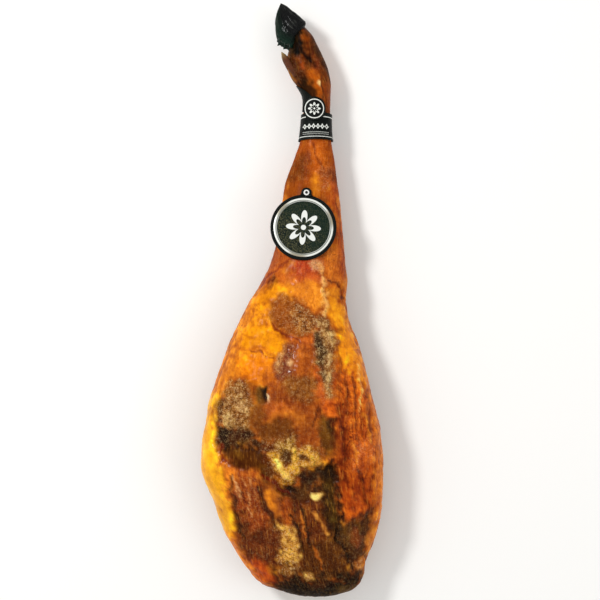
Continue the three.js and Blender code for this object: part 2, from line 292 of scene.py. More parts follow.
def mixColour(tree, factor, first, second, mode="MIX"):
    # a mix node's colours are its inputs 6 and 7 and its output 2
    inputs = {0: factor, 6: first, 7: second}
    return addNode(tree, "Mix", inputs, data_type="RGBA", blend_type=mode).outputs[2]


def rampValue(tree, value, low, high):
    inputs = {"Value": value, "From Min": low, "From Max": high}
    return addNode(tree, "MapRange", inputs, interpolation_type="SMOOTHSTEP").outputs[0]


def bumpFrom(tree, height, depth, strength=1.0, under=None):
    inputs = {"Height": height, "Distance": depth, "Strength": strength}
    if under is not None:
        inputs["Normal"] = under
    return addNode(tree, "Bump", inputs).outputs[0]


def noiseNode(tree, vector, scale, detail, roughness=0.5, distortion=0.0):
    return addNode(tree, "TexNoise", {"Vector": vector, "Scale": scale, "Detail": detail,
                                      "Roughness": roughness, "Distortion": distortion}).outputs[0]


def squeezed(tree, vector, width, length):
    # the vector squeezed across the run of the fibres, which is its second axis
    across = mathNode(tree, "DIVIDE", 1.0, width)
    along = mathNode(tree, "DIVIDE", across, length)
    scale = addNode(tree, "CombineXYZ", {"X": across, "Y": along, "Z": along}).outputs[0]
    return addNode(tree, "VectorMath", {0: vector, 1: scale}, operation="MULTIPLY").outputs[0]


def makeCloudGroup():
    # broad uneven tone: two sizes of noise added together
    tree, given, wanted = newGroup("broad tone", ["Value"], Size=0.03)
    scale = mathNode(tree, "DIVIDE", 1.0, given["Size"])
    wide = noiseNode(tree, given["Vector"], scale, 4.0, 0.6)
    tight = noiseNode(tree, given["Vector"], times(tree, scale, 4.3), 3.0, 0.6)
    both = mathNode(tree, "ADD", times(tree, wide, 0.65), times(tree, tight, 0.35))
    tree.links.new(rampValue(tree, both, 0.3, 0.7), wanted["Value"])
    return tree


def makeGrainGroup():
    # small crumbs: cell edges and fine noise, as a height and as separate light and dark masks
    tree, given, wanted = newGroup("crumb grain", ["Height", "Light", "Dark"], Size=0.003)
    scale = mathNode(tree, "DIVIDE", 1.0, given["Size"])
    noise = noiseNode(tree, given["Vector"], scale, 5.0, 0.7, 0.6)
    inputs = {"Vector": given["Vector"], "Scale": times(tree, scale, 0.8), "Randomness": 1.0}
    cells = addNode(tree, "TexVoronoi", inputs).outputs["Distance"]
    height = mathNode(tree, "SUBTRACT", noise, times(tree, cells, 0.35))
    tree.links.new(height, wanted["Height"])
    tree.links.new(rampValue(tree, height, 0.34, 0.52), wanted["Light"])
    tree.links.new(inverse(tree, rampValue(tree, height, 0.12, 0.3)), wanted["Dark"])
    return tree


def makeFibreGroup():
    # long thin streaks
    tree, given, wanted = newGroup("fibre streaks", ["Value"], Width=0.0022, Length=12.0)
    run = squeezed(tree, given["Vector"], given["Width"], given["Length"])
    tree.links.new(noiseNode(tree, run, 1.0, 4.0, 0.62, 0.35), wanted["Value"])
    return tree


def makeCrackGroup():
    # thin lines where a noise stretched along the run of the fibres passes its middle value, kept
    # only in patches
    tree, given, wanted = newGroup("dried cracks", ["Value"], Size=0.01, Length=2.5)
    run = squeezed(tree, given["Vector"], given["Size"], given["Length"])
    noise = noiseNode(tree, run, 1.0, 3.0, 0.55, 0.8)
    off = mathNode(tree, "ABSOLUTE", mathNode(tree, "SUBTRACT", noise, 0.5))
    line = inverse(tree, rampValue(tree, off, 0.002, 0.022))
    shown = rampValue(tree, noiseNode(tree, run, 0.35, 2.0), 0.46, 0.6)
    tree.links.new(times(tree, line, shown), wanted["Value"])
    return tree


toneGroup = makeCloudGroup()
grainGroup = makeGrainGroup()
fibreGroup = makeFibreGroup()
crackGroup = makeCrackGroup()
print("shader groups made")


# the leg

leg = {
    "rows": 440,
    "topColumns": 140,
    "bottomColumns": 82,
    "sideLevel": 0.45,  # share of the height at which the leg is widest
    "bottomSquareness": 2.1,
    "shankSquareness": 2.1,
    "bodySquareness": 2.55,
    "bodyEndsAt": -60,  # along y, in millimetres like all the tables here
    "shankStartsAt": 90,
    # left edge x, y, lowest level, right edge x, y, highest level, from butt to toes
    "ribs": [
        (32, -428.5, 54, 32, -428.5, 54), (8, -427, 41, 60, -427, 68),
        (-22, -418, 27, 86, -419, 80), (-50, -403.5, 16, 101, -404, 91),
        (-73, -375, 7, 107, -377, 101), (-90, -346, 1, 118, -347, 108),
        (-103, -317, -2, 126, -317, 114), (-113, -288, -4, 129.5, -288, 119),
        (-126, -259, -6, 130.5, -259, 123), (-130.5, -231, -7, 130.5, -231, 126),
        (-129, -202, -7, 128, -202, 128), (-124, -173, -6, 123.5, -173, 128.5),
        (-119, -144, -5, 116, -144, 127), (-110, -115, -3, 108, -115, 123),
        (-100, -87, -1, 101.5, -87, 117.5), (-89, -58, 2, 93, -58, 110.5),
        (-75.5, -29, 6, 82, -29, 103), (-61, 0, 10, 77.5, 0, 96),
        (-43, 28.5, 14, 79.5, 28.5, 89.5), (-30, 57, 17, 76, 57, 84),
        (-22.5, 86, 20, 74, 86, 79.5), (-17.5, 115, 22, 71, 115, 76),
        (-14.5, 144, 24, 68.5, 144, 73), (-9.5, 172.5, 26, 64.5, 172.5, 70),
        (1, 201, 27, 61, 201, 67), (10, 226, 28, 56.5, 226, 64.5),
        (13.5, 247, 28, 54.5, 247, 63), (15.5, 273, 27.5, 54.5, 273, 62),
        (15.5, 292, 26.5, 55, 292, 62), (10, 305, 25.5, 55.5, 311, 63),
        (-0.5, 319, 24.5, 54, 324, 64.5), (-7, 333, 24, 51, 336, 65.5),
        (-8, 345, 24, 46.5, 347, 66), (-7, 356, 24, 41, 359, 66),
        (-4, 366, 24.5, 35, 371, 65.5), (-3, 374, 25, 29.5, 382, 65),
        (-5, 383, 28, 20, 393, 62), (-6, 391, 34, 10, 401, 56),
        (0, 400, 45, 0, 400, 45),
    ],
    # broad dips in the lean face: centre x, y, reach along x and y, depth
    "dips": [(15, -262, 62, 46, 7), (-62, -196, 44, 26, 4), (62, -262, 20, 70, 4)],
}


def ribSurface(left, right, angle, topSquareness, grow=0.0):
    # every row is a superellipse between its two edges and its two levels: in the direction
    # (cos, sin) of the angle the reach is (|cos|^n + |sin|^n)^(-1/n)
    grow = np.broadcast_to(grow, angle.shape)
    cosine, sine = np.cos(angle), np.sin(angle)
    power = np.where(sine >= 0, topSquareness, leg["bottomSquareness"])
    reach = (np.abs(cosine) ** power + np.abs(sine) ** power) ** (-1.0 / power)
    flat = right[..., :2] - left[..., :2]
    span = np.linalg.norm(flat, axis=-1, keepdims=True)
    outwards = flat / np.maximum(span, 1e-6) * grow[..., None]
    share = (0.5 + 0.5 * cosine * reach)[..., None]
    plan = (left[..., :2] - outwards) * (1 - share) + (right[..., :2] + outwards) * share
    low, high = left[..., 2] - grow, right[..., 2] + grow
    side = low + (high - low) * leg["sideLevel"]
    level = side + sine * reach * np.where(sine >= 0, high - side, side - low)
    return np.concatenate([plan, level[..., None]], axis=-1)


def edgesAt(ribs, at):
    # both edges of the ribs at an array of fractional rib numbers
    rows = at.ravel()
    left = splinePoints([rib[:3] for rib in ribs], rows).reshape(at.shape + (3,))
    right = splinePoints([rib[3:] for rib in ribs], rows).reshape(at.shape + (3,))
    return left, right


def legSurface(at, angle, grow=0.0):
    # at holds rib numbers and angle the direction round the leg; both are arrays of one shape
    left, right = edgesAt(leg["ribs"], at)
    shank = smoothStep(leg["bodyEndsAt"], leg["shankStartsAt"], left[..., 1])
    top = leg["bodySquareness"] + (leg["shankSquareness"] - leg["bodySquareness"]) * shank
    return ribSurface(left, right, angle, top, grow)


def evenRows(surface, first, last, rows):
    # rib numbers spaced so that the edges and the crest move on by even lengths
    fine = np.linspace(first, last, 4001)
    sides = np.array([0.0, 0.5, 1.0, 1.5]) * math.pi
    lines = surface(*np.meshgrid(fine, sides, indexing="ij"))
    steps = np.linalg.norm(np.diff(lines, axis=0), axis=-1).max(axis=1)
    passed = np.concatenate([[0], np.cumsum(steps)])
    return np.interp(np.linspace(0, passed[-1], rows), passed, fine)


def spreadAngles(top, bottom, pull=0.3):
    # more columns on the lean face than under the leg, and closer together on its crest
    upper = np.arange(top) / top * math.pi
    lower = math.pi + np.arange(bottom) / bottom * math.pi
    angle = np.concatenate([upper, lower])
    return angle + 0.5 * pull * np.sin(2 * angle)


def gridNormals(points):
    # cross product of the two directions of the grid, which closes on itself across its columns
    across = np.roll(points, -1, axis=1) - np.roll(points, 1, axis=1)
    along = np.gradient(points, axis=0)
    normal = np.cross(along, across)
    return normal / np.maximum(np.linalg.norm(normal, axis=-1, keepdims=True), 1e-9)


# The lean face as painted from above, in layers from the lowest up, in millimetres. Each is a
# colour, an edge softness, a height, then how crumbed, how wet and how fibrous it is.
faceLayers = [
    # flanks and broad fields
    ((214, 120, 26), 8, 0.5, 0.0, 0.5, 0.5,
     [(-52, 4), (-74, -36), (-96, -88), (-112, -140), (-100, -132), (-72, -104), (-62, -70), (-52, -36)]),
    ((228, 140, 32), 9, 0.5, 0.0, 0.6, 0.4,
     [(-50, 10), (-30, -8), (-34, -40), (-22, -70), (-30, -104), (-44, -118), (-74, -108), (-98, -132),
     (-116, -140), (-104, -90), (-84, -40), (-66, -4)]),
    ((204, 94, 18), 7, 0.5, 0.1, 0.4, 0.9,
     [(58, -88), (84, -80), (102, -92), (118, -145), (127, -200), (129, -258), (124, -312), (98, -312),
     (78, -322), (66, -300), (62, -250), (62, -180), (58, -130)]),
    ((152, 72, 16), 9, 0.0, 0.1, 0.5, 0.5,
     [(-36, -108), (-4, -60), (30, -58), (36, -100), (40, -160), (60, -166), (62, -214), (34, -222),
     (10, -206), (-30, -202), (-58, -196), (-44, -150)]),
    ((96, 46, 12), 9, 0.0, 0.1, 0.3, 0.6,
     [(-40, -240), (0, -262), (38, -246), (64, -236), (70, -320), (84, -372), (76, -398), (30, -404),
     (-10, -392), (-34, -376), (-60, -368), (-80, -338), (-58, -300)]),
    # golden fat above and left of the crumbed patches
    ((238, 152, 14), 7, 1.4, 0.0, 0.35, 0.1,
     [(-54, 0), (-38, 20), (-18, 18), (-2, 14), (-6, 6), (-22, 4), (-32, -8), (-34, -26), (-46, -20)]),
    ((236, 142, 34), 6, 1.0, 0.1, 0.7, 0.2,
     [(2, 34), (16, 42), (32, 34), (42, 12), (40, -14), (24, -10), (10, 2), (0, 10), (4, 20)]),
    ((234, 148, 4), 7, 1.4, 0.0, 0.22, 0.1,
     [(-66, -40), (-46, -30), (-34, -32), (-20, -48), (-12, -62), (-22, -80), (-44, -74), (-68, -72)]),
    ((230, 128, 6), 7, 1.2, 0.0, 0.22, 0.2,
     [(-72, -84), (-40, -74), (-24, -82), (-30, -98), (-42, -110), (-58, -120), (-76, -104)]),
    ((192, 98, 16), 6, 0.4, 0.1, 0.6, 0.3,
     [(-46, -100), (-30, -92), (-18, -104), (-16, -118), (-32, -122), (-44, -116)]),
    ((242, 156, 18), 6, 1.2, 0.0, 0.7, 0.2,
     [(44, 0), (64, -2), (76, -16), (80, -30), (68, -38), (55, -32), (50, -16)]),
    ((252, 158, 8), 7, 1.4, 0.0, 0.8, 0.3,
     [(60, -44), (80, -36), (98, -72), (112, -118), (100, -124), (84, -100), (68, -96), (58, -64)]),
    ((190, 90, 20), 5, 0.0, 0.1, 0.5, 0.4, [(-16, 36), (2, 40), (4, 28), (-2, 20), (-14, 22)]),
    # the trimmed muscle under the tag
    ((188, 62, 26), 5, -0.6, 0.2, 0.7, 0.6,
     [(4, 58), (22, 60), (40, 56), (44, 46), (26, 36), (4, 32), (-2, 44)]),
    ((196, 84, 30), 4, 0.6, 0.1, 0.8, 0.5,
     [(8, 40), (24, 44), (42, 38), (46, 26), (34, 26), (20, 32), (8, 28)]),
    # painted highlight: a pale glint on the wet muscle
    ((216, 150, 110), 3, 0.6, 0.8, 0.9, 0.0, [(26, 56), (38, 58), (43, 51), (38, 44), (28, 46)]),
    # the brown crumbed patch and its neighbours
    ((146, 76, 24), 3, -0.8, 0.35, 0.1, 0.1,
     [(-28, -4), (-20, 8), (-8, 9), (4, 2), (16, -4), (27, -14), (36, -28), (34, -40), (20, -50),
     (6, -54), (-6, -49), (-16, -42), (-27, -36), (-32, -26), (-30, -12)]),
    ((160, 98, 42), 5, 0.6, 1.0, 0.3, 0.0,
     [(4, -8), (14, -6), (24, -16), (31, -30), (28, -42), (14, -48), (4, -40), (1, -24)]),
    ((140, 64, 26), 4, -1.8, 0.35, 1.0, 0.6,
     [(-13, -62), (-2, -60), (6, -72), (5, -92), (-4, -106), (-18, -116), (-26, -106), (-22, -88),
     (-18, -74)]),
    # painted highlights: pale glints on the wet red-brown band
    ((214, 150, 92), 3, 0.8, 0.9, 1.0, 0.0,
     [(-20, -84), (-14, -68), (-11, -72), (-15, -92), (-20, -102), (-23, -94)]),
    ((226, 176, 132), 2, 0.8, 0.6, 1.0, 0.0, [(-6, -82), (0, -84), (2, -91), (-3, -92)]),
    ((168, 82, 20), 5, 0.4, 0.1, 0.4, 0.5,
     [(8, -62), (30, -62), (34, -80), (38, -100), (30, -110), (10, -110), (4, -94)]),
    ((206, 104, 32), 5, 0.8, 0.1, 0.6, 0.3,
     [(-2, -50), (12, -54), (30, -48), (36, -58), (26, -66), (8, -62)]),
    ((134, 78, 28), 5, -0.8, 0.3, 0.2, 0.3,
     [(-14, -112), (10, -108), (34, -112), (37, -128), (30, -141), (6, -141), (-10, -132)]),
    ((204, 96, 30), 4, 0.8, 0.2, 0.7, 0.4,
     [(34, -96), (42, -98), (44, -120), (50, -138), (60, -142), (60, -160), (46, -160), (40, -140),
     (33, -118)]),
    # the dark tendon ridge
    # the pale tendon strip: cream crumbed specks, partly painted highlights
    ((222, 158, 92), 3, 2.0, 0.6, 0.8, 0.2,
     [(38, 50), (43, 44), (46, 26), (50, 8), (51, -8), (48, -22), (43, -18), (45, 0), (41, 22)]),
    ((148, 104, 60), 4, 3.0, 1.0, 0.5, 0.2,
     [(33, -24), (41, -20), (49, -27), (56, -44), (60, -62), (58, -84), (57, -110), (57, -136),
     (49, -138), (43, -120), (40, -98), (34, -86), (30, -68), (33, -50), (35, -38)]),
    ((46, 27, 14), 3, -1.4, 0.5, 0.5, 0.0,
     [(32, -48), (39, -50), (42, -60), (38, -70), (30, -68), (29, -58)]),
    ((66, 44, 22), 3, -0.8, 0.7, 0.4, 0.0, [(34, -70), (46, -64), (50, -76), (42, -92), (36, -86)]),
    ((58, 32, 14), 3, -1.0, 0.6, 0.5, 0.0,
     [(39, -92), (43, -88), (45, -104), (46, -116), (42, -116), (39, -104)]),
    # painted highlights: small pale crumbed specks standing in for glints on the dark ridge
    ((190, 146, 98), 1.5, 0.8, 1.0, 0.9, 0.0, [(50, -80), (54, -78), (54, -88), (51, -94)]),
    ((180, 136, 90), 1.5, 0.8, 1.0, 0.9, 0.0,
     [(50, -104), (53, -102), (53, -120), (51, -128), (50, -116)]),
    ((196, 152, 100), 1.5, 0.8, 1.0, 0.9, 0.0, [(48, -46), (51, -46), (54, -58), (55, -68), (52, -60)]),
    ((208, 166, 110), 1.5, 0.8, 0.9, 0.8, 0.0, [(36, -28), (40, -27), (40, -34), (37, -38)]),
    # the crumbed patch on the left, with a dark crease along its left edge
    ((144, 94, 46), 4, 1.0, 1.0, 0.1, 0.0,
     [(-98, -136), (-90, -122), (-79, -112), (-70, -112), (-62, -124), (-57, -142), (-58, -166),
     (-60, -184), (-82, -186), (-100, -182), (-104, -160)]),
    ((166, 122, 74), 3, 0.8, 1.0, 0.2, 0.0,
     [(-98, -162), (-88, -160), (-80, -168), (-82, -178), (-94, -178), (-100, -172)]),
    ((176, 128, 84), 3, 0.5, 1.0, 0.2, 0.0,
     [(-76, -142), (-66, -144), (-64, -154), (-72, -158), (-78, -150)]),
    ((56, 28, 12), 5, -1.6, 0.6, 0.2, 0.0,
     [(-113, -150), (-105, -134), (-99, -138), (-102, -160), (-100, -182), (-90, -188), (-92, -202),
     (-107, -198), (-112, -176)]),
    ((132, 74, 22), 6, -0.4, 0.1, 0.3, 0.1,
     [(-60, -124), (-48, -128), (-38, -126), (-37, -146), (-40, -165), (-47, -178), (-58, -184),
     (-59, -160), (-58, -140)]),
    ((84, 54, 18), 4, -0.8, 0.1, 0.3, 0.0, [(-52, -127), (-38, -124), (-37, -142), (-48, -144)]),
    # painted shade in a small deep pit, and a painted highlight along its edge
    ((14, 8, 5), 1.5, -3.5, 0.0, 0.6, 0.0, [(-41, -124), (-36, -127), (-35, -138), (-40, -140)]),
    ((236, 206, 176), 1.2, 1.2, 0.3, 1.0, 0.0, [(-35, -130), (-31, -135), (-33, -143), (-35, -138)]),
    ((188, 98, 22), 4, 2.0, 0.0, 0.8, 0.3,
     [(-40, -172), (-30, -160), (-14, -153), (-4, -158), (-18, -164), (-32, -170)]),
    ((180, 88, 22), 5, 0.8, 0.1, 0.6, 0.3,
     [(-37, -142), (-24, -142), (-8, -146), (-2, -154), (-20, -156), (-36, -160)]),
    ((112, 62, 16), 6, -1.0, 0.1, 0.3, 0.2,
     [(-48, -174), (-30, -168), (-6, -164), (2, -180), (-2, -196), (-22, -201), (-46, -197)]),
    ((100, 62, 14), 4, -1.6, 0.1, 0.2, 0.2,
     [(38, -166), (52, -162), (62, -170), (62, -200), (57, -217), (45, -211), (38, -190)]),
    ((196, 86, 14), 4, 0.4, 0.0, 0.5, 0.4, [(48, -148), (64, -146), (68, -160), (48, -164)]),
    ((54, 34, 10), 3, -1.0, 0.1, 0.2, 0.0, [(50, -164), (62, -167), (62, -196), (55, -190), (48, -176)]),
    # the fold, painted near black as painted shade, and the olive hollow under it
    ((20, 10, 4), 5, -4.0, 0.25, 0.4, 0.0,
     [(-106, -182), (-80, -182), (-56, -184), (-50, -197), (-34, -203), (-14, -206), (-18, -214),
     (-36, -213), (-60, -208), (-100, -210)]),
    ((58, 32, 6), 5, -3.0, 0.0, 0.2, 0.5,
     [(-99, -206), (-60, -205), (-42, -212), (-34, -228), (-22, -244), (-34, -250), (-52, -241),
     (-76, -241), (-92, -230)]),
    # right flank details
    ((118, 40, 6), 7, -1.0, 0.0, 0.4, 0.9,
     [(61, -150), (72, -148), (80, -178), (86, -214), (82, -246), (88, -290), (72, -300), (64, -262),
     (62, -190)]),
    ((190, 86, 18), 6, 0.8, 0.3, 0.7, 0.3,
     [(90, -205), (100, -198), (114, -190), (122, -214), (114, -228), (100, -224), (94, -240),
     (86, -234)]),
    ((158, 62, 8), 7, 0.6, 0.0, 0.35, 0.8,
     [(82, -250), (112, -254), (118, -292), (106, -304), (96, -292), (82, -282)]),
    ((100, 36, 2), 5, 0.0, 0.0, 0.3, 0.8, [(90, -290), (112, -286), (114, -308), (92, -310)]),
    ((186, 78, 14), 6, 1.4, 0.0, 0.5, 0.4,
     [(72, -268), (80, -262), (86, -278), (98, -286), (100, -300), (86, -312), (75, -300)]),
    ((40, 24, 8), 6, -5.0, 0.15, 0.4, 0.3,
     [(66, -316), (84, -312), (96, -308), (112, -302), (119, -318), (112, -346), (106, -372), (86, -378),
     (66, -350), (60, -332)]),
    ((120, 52, 14), 5, 1.0, 0.2, 0.5, 0.3, [(84, -330), (94, -324), (100, -340), (94, -356), (86, -348)]),
    # the left muscle, its creases and the bulge beside it
    ((146, 62, 18), 5, 1.2, 0.2, 0.5, 1.0,
     [(-92, -234), (-72, -242), (-54, -246), (-46, -262), (-50, -276), (-42, -290), (-36, -306),
     (-38, -322), (-54, -336), (-70, -331), (-78, -312), (-83, -290), (-89, -268)]),
    ((152, 76, 14), 5, 3.6, 0.0, 0.8, 0.3,
     [(-38, -264), (-24, -262), (-14, -274), (-14, -292), (-20, -304), (-29, -300), (-36, -290),
     (-41, -278)]),
    # painted highlight on the top of the bulge
    ((220, 126, 22), 4, 0.6, 0.0, 0.8, 0.1,
     [(-36, -270), (-29, -270), (-25, -284), (-29, -292), (-36, -284)]),
    ((70, 34, 10), 6, -2.0, 0.1, 0.4, 0.5,
     [(-10, -264), (4, -268), (10, -284), (4, -296), (-4, -284), (-11, -276)]),
    ((184, 88, 16), 5, 0.4, 0.1, 0.6, 0.6,
     [(-12, -284), (-4, -286), (2, -300), (0, -316), (-8, -318), (-13, -304)]),
    ((74, 30, 8), 6, -1.4, 0.1, 0.3, 0.6,
     [(-80, -306), (-70, -300), (-62, -322), (-46, -322), (-40, -332), (-52, -344), (-74, -342)]),
    ((108, 48, 16), 7, -0.5, 0.15, 0.4, 0.7,
     [(-80, -338), (-60, -338), (-36, -324), (-20, -318), (-14, -345), (-18, -374), (-36, -378),
     (-58, -370), (-74, -354)]),
    # bone, cleft and stub
    ((110, 50, 10), 7, 0.6, 0.5, 0.3, 0.0,
     [(-44, -206), (-10, -188), (14, -202), (38, -214), (42, -234), (16, -246), (2, -262), (-22, -256)]),
    ((196, 136, 50), 5, 1.6, 1.0, 0.3, 0.0, [(10, -208), (20, -204), (30, -212), (26, -220), (14, -216)]),
    ((176, 128, 56), 5, 1.6, 1.0, 0.3, 0.0,
     [(-18, -198), (-6, -192), (4, -202), (10, -214), (2, -222), (-12, -216), (-24, -212)]),
    ((206, 142, 42), 4, 3.2, 1.0, 0.4, 0.0,
     [(-34, -216), (-25, -212), (-18, -218), (-14, -230), (-5, -230), (-2, -216), (6, -212), (12, -220),
     (10, -238), (4, -248), (-2, -257), (-12, -256), (-20, -244), (-28, -234)]),
    ((216, 150, 52), 4, 2.6, 1.0, 0.4, 0.0,
     [(6, -212), (16, -210), (24, -216), (33, -218), (36, -228), (26, -235), (14, -236), (8, -226)]),
    ((96, 56, 18), 2.5, -1.6, 0.5, 0.3, 0.0, [(10, -218), (18, -220), (22, -226), (14, -226)]),
    ((238, 190, 96), 2.5, 1.0, 0.7, 0.5, 0.0,
     [(-24, -226), (-18, -228), (-12, -240), (-4, -244), (-8, -250), (-18, -242)]),
    ((92, 60, 22), 3, -4.5, 0.4, 0.2, 0.0,
     [(-13, -212), (-6, -214), (-2, -221), (-4, -229), (-11, -228), (-15, -220)]),
    # painted shadow: the cleft under the bone, painted near black, and the brown patch in it
    ((18, 9, 4), 6, -6.5, 0.1, 0.4, 0.0,
     [(-18, -260), (0, -262), (12, -250), (26, -240), (40, -236), (54, -232), (58, -246), (42, -256),
     (36, -268), (26, -268), (22, -282), (10, -284), (4, -274), (-4, -272), (-15, -268)]),
    ((84, 48, 16), 4, 1.5, 0.1, 0.4, 0.3, [(6, -264), (18, -260), (24, -270), (20, -282), (10, -282)]),
    ((44, 29, 6), 5, -5.0, 0.05, 0.3, 0.5,
     [(44, -240), (60, -234), (64, -262), (66, -292), (71, -320), (62, -338), (50, -322), (44, -302),
     (40, -284), (42, -262)]),
    ((84, 62, 18), 3, 0.6, 0.05, 0.3, 0.8,
     [(48, -262), (56, -258), (60, -290), (64, -316), (56, -312), (50, -290)]),
    ((104, 46, 10), 6, 0.8, 0.1, 0.4, 0.9,
     [(4, -286), (22, -286), (38, -284), (42, -302), (50, -326), (40, -346), (18, -346), (6, -332),
     (-2, -310)]),
    ((230, 180, 104), 1.5, 4.5, 0.2, 0.6, 0.0,
     [(27, -276), (34, -273), (41, -272), (42, -278), (37, -283), (31, -282)]),
    # the lower end
    ((80, 40, 8), 7, -1.0, 0.1, 0.3, 0.6,
     [(12, -346), (58, -338), (72, -352), (84, -376), (80, -394), (44, -400), (12, -390), (14, -370)]),
    ((222, 160, 70), 4, 2.6, 1.0, 0.3, 0.0,
     [(-22, -316), (-14, -316), (-4, -322), (6, -336), (10, -350), (9, -368), (2, -374), (-6, -372),
     (-14, -376), (-20, -364), (-16, -344)]),
    ((150, 94, 30), 3, 1.6, 0.9, 0.4, 0.0,
     [(-14, -372), (0, -370), (10, -378), (4, -388), (-8, -390), (-16, -384)]),
    ((10, 5, 2), 8, -2.0, 0.1, 0.3, 0.2,
     [(-36, -378), (-20, -386), (-6, -394), (10, -390), (28, -396), (54, -394), (80, -386), (99, -378),
     (108, -386), (98, -408), (60, -436), (0, -436), (-28, -412)]),
    ((84, 38, 10), 5, 0.8, 0.1, 0.5, 0.4, [(26, -406), (46, -404), (48, -414), (34, -420), (24, -414)]),
    ((196, 140, 66), 2.5, 1.2, 0.9, 0.5, 0.0,
     [(15, -388), (26, -391), (29, -397), (21, -400), (13, -395)]),
    ((206, 128, 56), 3, 1.2, 0.5, 0.6, 0.0, [(92, -376), (103, -372), (106, -382), (98, -389)]),
    # the yellow rim of fat, drawn last because it laps over the meat
    ((252, 184, 26), 4.5, 2.0, 0.0, 0.85, 0.05,
     [(-110, -134), (-104, -136), (-110, -152), (-113, -176), (-109, -200), (-104, -226), (-96, -242),
     (-92, -262), (-90, -284), (-84, -302), (-82, -322), (-86, -338), (-104, -340), (-128, -290),
     (-142, -230), (-138, -180), (-124, -136)]),
    ((236, 136, 22), 6, 1.6, 0.0, 0.8, 0.2,
     [(-86, -330), (-78, -354), (-66, -374), (-50, -394), (-28, -410), (-16, -420), (-34, -428),
     (-76, -396), (-104, -336)]),
    ((176, 66, 10), 5, 0.6, 0.0, 0.7, 0.4,
     [(-60, -368), (-42, -374), (-29, -392), (-22, -409), (-34, -408), (-52, -394)]),
    ((226, 136, 28), 6, 0.4, 0.05, 0.7, 0.4,
     [(-102, -222), (-94, -228), (-86, -238), (-82, -252), (-86, -266), (-94, -256)]),
    ((206, 108, 24), 6, 0.4, 0.05, 0.7, 0.5,
     [(-100, -226), (-92, -232), (-84, -234), (-80, -250), (-84, -272), (-88, -290), (-94, -268),
     (-97, -244)]),
    ((222, 128, 34), 5, 0.8, 0.0, 0.7, 0.5,
     [(104, -92), (120, -144), (131, -200), (136, -255), (130, -312), (121, -332), (115, -318),
     (121, -258), (117, -200), (106, -140)]),
    ((206, 120, 44), 4, 1.0, 0.1, 0.7, 0.2,
     [(113, -330), (122, -328), (120, -342), (113, -352), (109, -346)]),
]

# Creases and cords on the lean face: colour, width, height, then the path.
faceLines = [
    ((138, 46, 16), 5, -1.4, [(8, 61), (-12, 51), (-31, 38), (-44, 26), (-56, 10), (-66, -6)]),
    ((196, 104, 22), 6, -0.4, [(-86, -66), (-66, -70), (-46, -68), (-28, -74)]),
    ((204, 116, 22), 4, -0.3, [(-74, -48), (-58, -54), (-42, -50)]),
    ((132, 40, 14), 4, -1.2, [(-31, -32), (-23, -43), (-6, -51), (6, -56), (10, -61)]),
    ((92, 30, 12), 7, -1.4, [(52, 26), (62, 24), (66, 14), (70, 2)]),
    ((130, 34, 8), 5, -1.6, [(-100, -202), (-101, -214), (-96, -226), (-90, -234)]),
    ((120, 22, 6), 6, -2.0, [(-42, -248), (-24, -257), (-6, -273)]),
    ((62, 28, 10), 8, -2.6,
     [(-86, -250), (-86, -266), (-83, -284), (-80, -304), (-76, -324), (-68, -340)]),
    ((70, 32, 12), 8, -2.6, [(-48, -262), (-43, -282), (-33, -300), (-24, -318)]),
    # painted highlights: pale streaks along the left muscle
    ((206, 150, 104), 3, 0.8, [(-84, -248), (-78, -264), (-74, -284)]),
    ((210, 150, 100), 2.6, 0.8, [(-70, -250), (-64, -268), (-60, -290), (-56, -306)]),
    ((196, 130, 80), 2.4, 0.6, [(-60, -252), (-54, -270), (-52, -284)]),
    ((40, 20, 8), 6, -2.4, [(12, -288), (16, -308), (22, -330), (26, -346)]),
    ((48, 24, 8), 5, -2.4, [(-2, -304), (4, -320), (13, -338), (16, -354)]),
    ((196, 126, 52), 7, 2.6, [(32, -300), (40, -316), (52, -334)]),
    ((176, 92, 24), 5, 1.2, [(10, -300), (14, -318), (20, -336)]),
    ((166, 84, 22), 6, 1.0, [(30, -350), (38, -364), (42, -384)]),
    ((50, 30, 10), 5, -2.5, [(60, -336), (72, -352), (84, -374)]),
    ((44, 22, 8), 5, -2.0, [(64, -236), (66, -262), (68, -292), (74, -316)]),
    ((234, 162, 88), 2.6, 1.2, [(88, -92), (94, -112), (97, -136), (96, -158)]),
    ((104, 38, 6), 6, -1.0, [(69, -168), (73, -200), (75, -234)]),
    ((112, 44, 8), 5, -1.0, [(94, -238), (100, -262), (104, -288)]),
    ((224, 138, 40), 5, 0.9, [(100, -148), (106, -174), (110, -202)]),
    ((216, 124, 32), 5, 0.8, [(84, -190), (88, -212), (92, -234)]),
    ((210, 118, 30), 5, 0.8, [(116, -222), (118, -250), (116, -282)]),
    ((196, 96, 22), 5, 0.8, [(78, -240), (82, -262), (88, -286)]),
    ((124, 50, 10), 6, -0.8, [(72, -100), (76, -130), (78, -160)]),
    ((124, 50, 10), 5, -0.8, [(84, -110), (88, -140), (89, -175), (92, -200)]),
    ((130, 54, 12), 6, -0.8, [(104, -130), (110, -165), (113, -190)]),
    ((128, 54, 12), 6, -0.8, [(62, -60), (66, -90), (66, -130)]),
    ((84, 34, 12), 3, -1.6, [(36, -150), (34, -166), (28, -178)]),
    ((150, 72, 22), 3, -1.2, [(-60, -72), (-40, -76), (-24, -84)]),
]

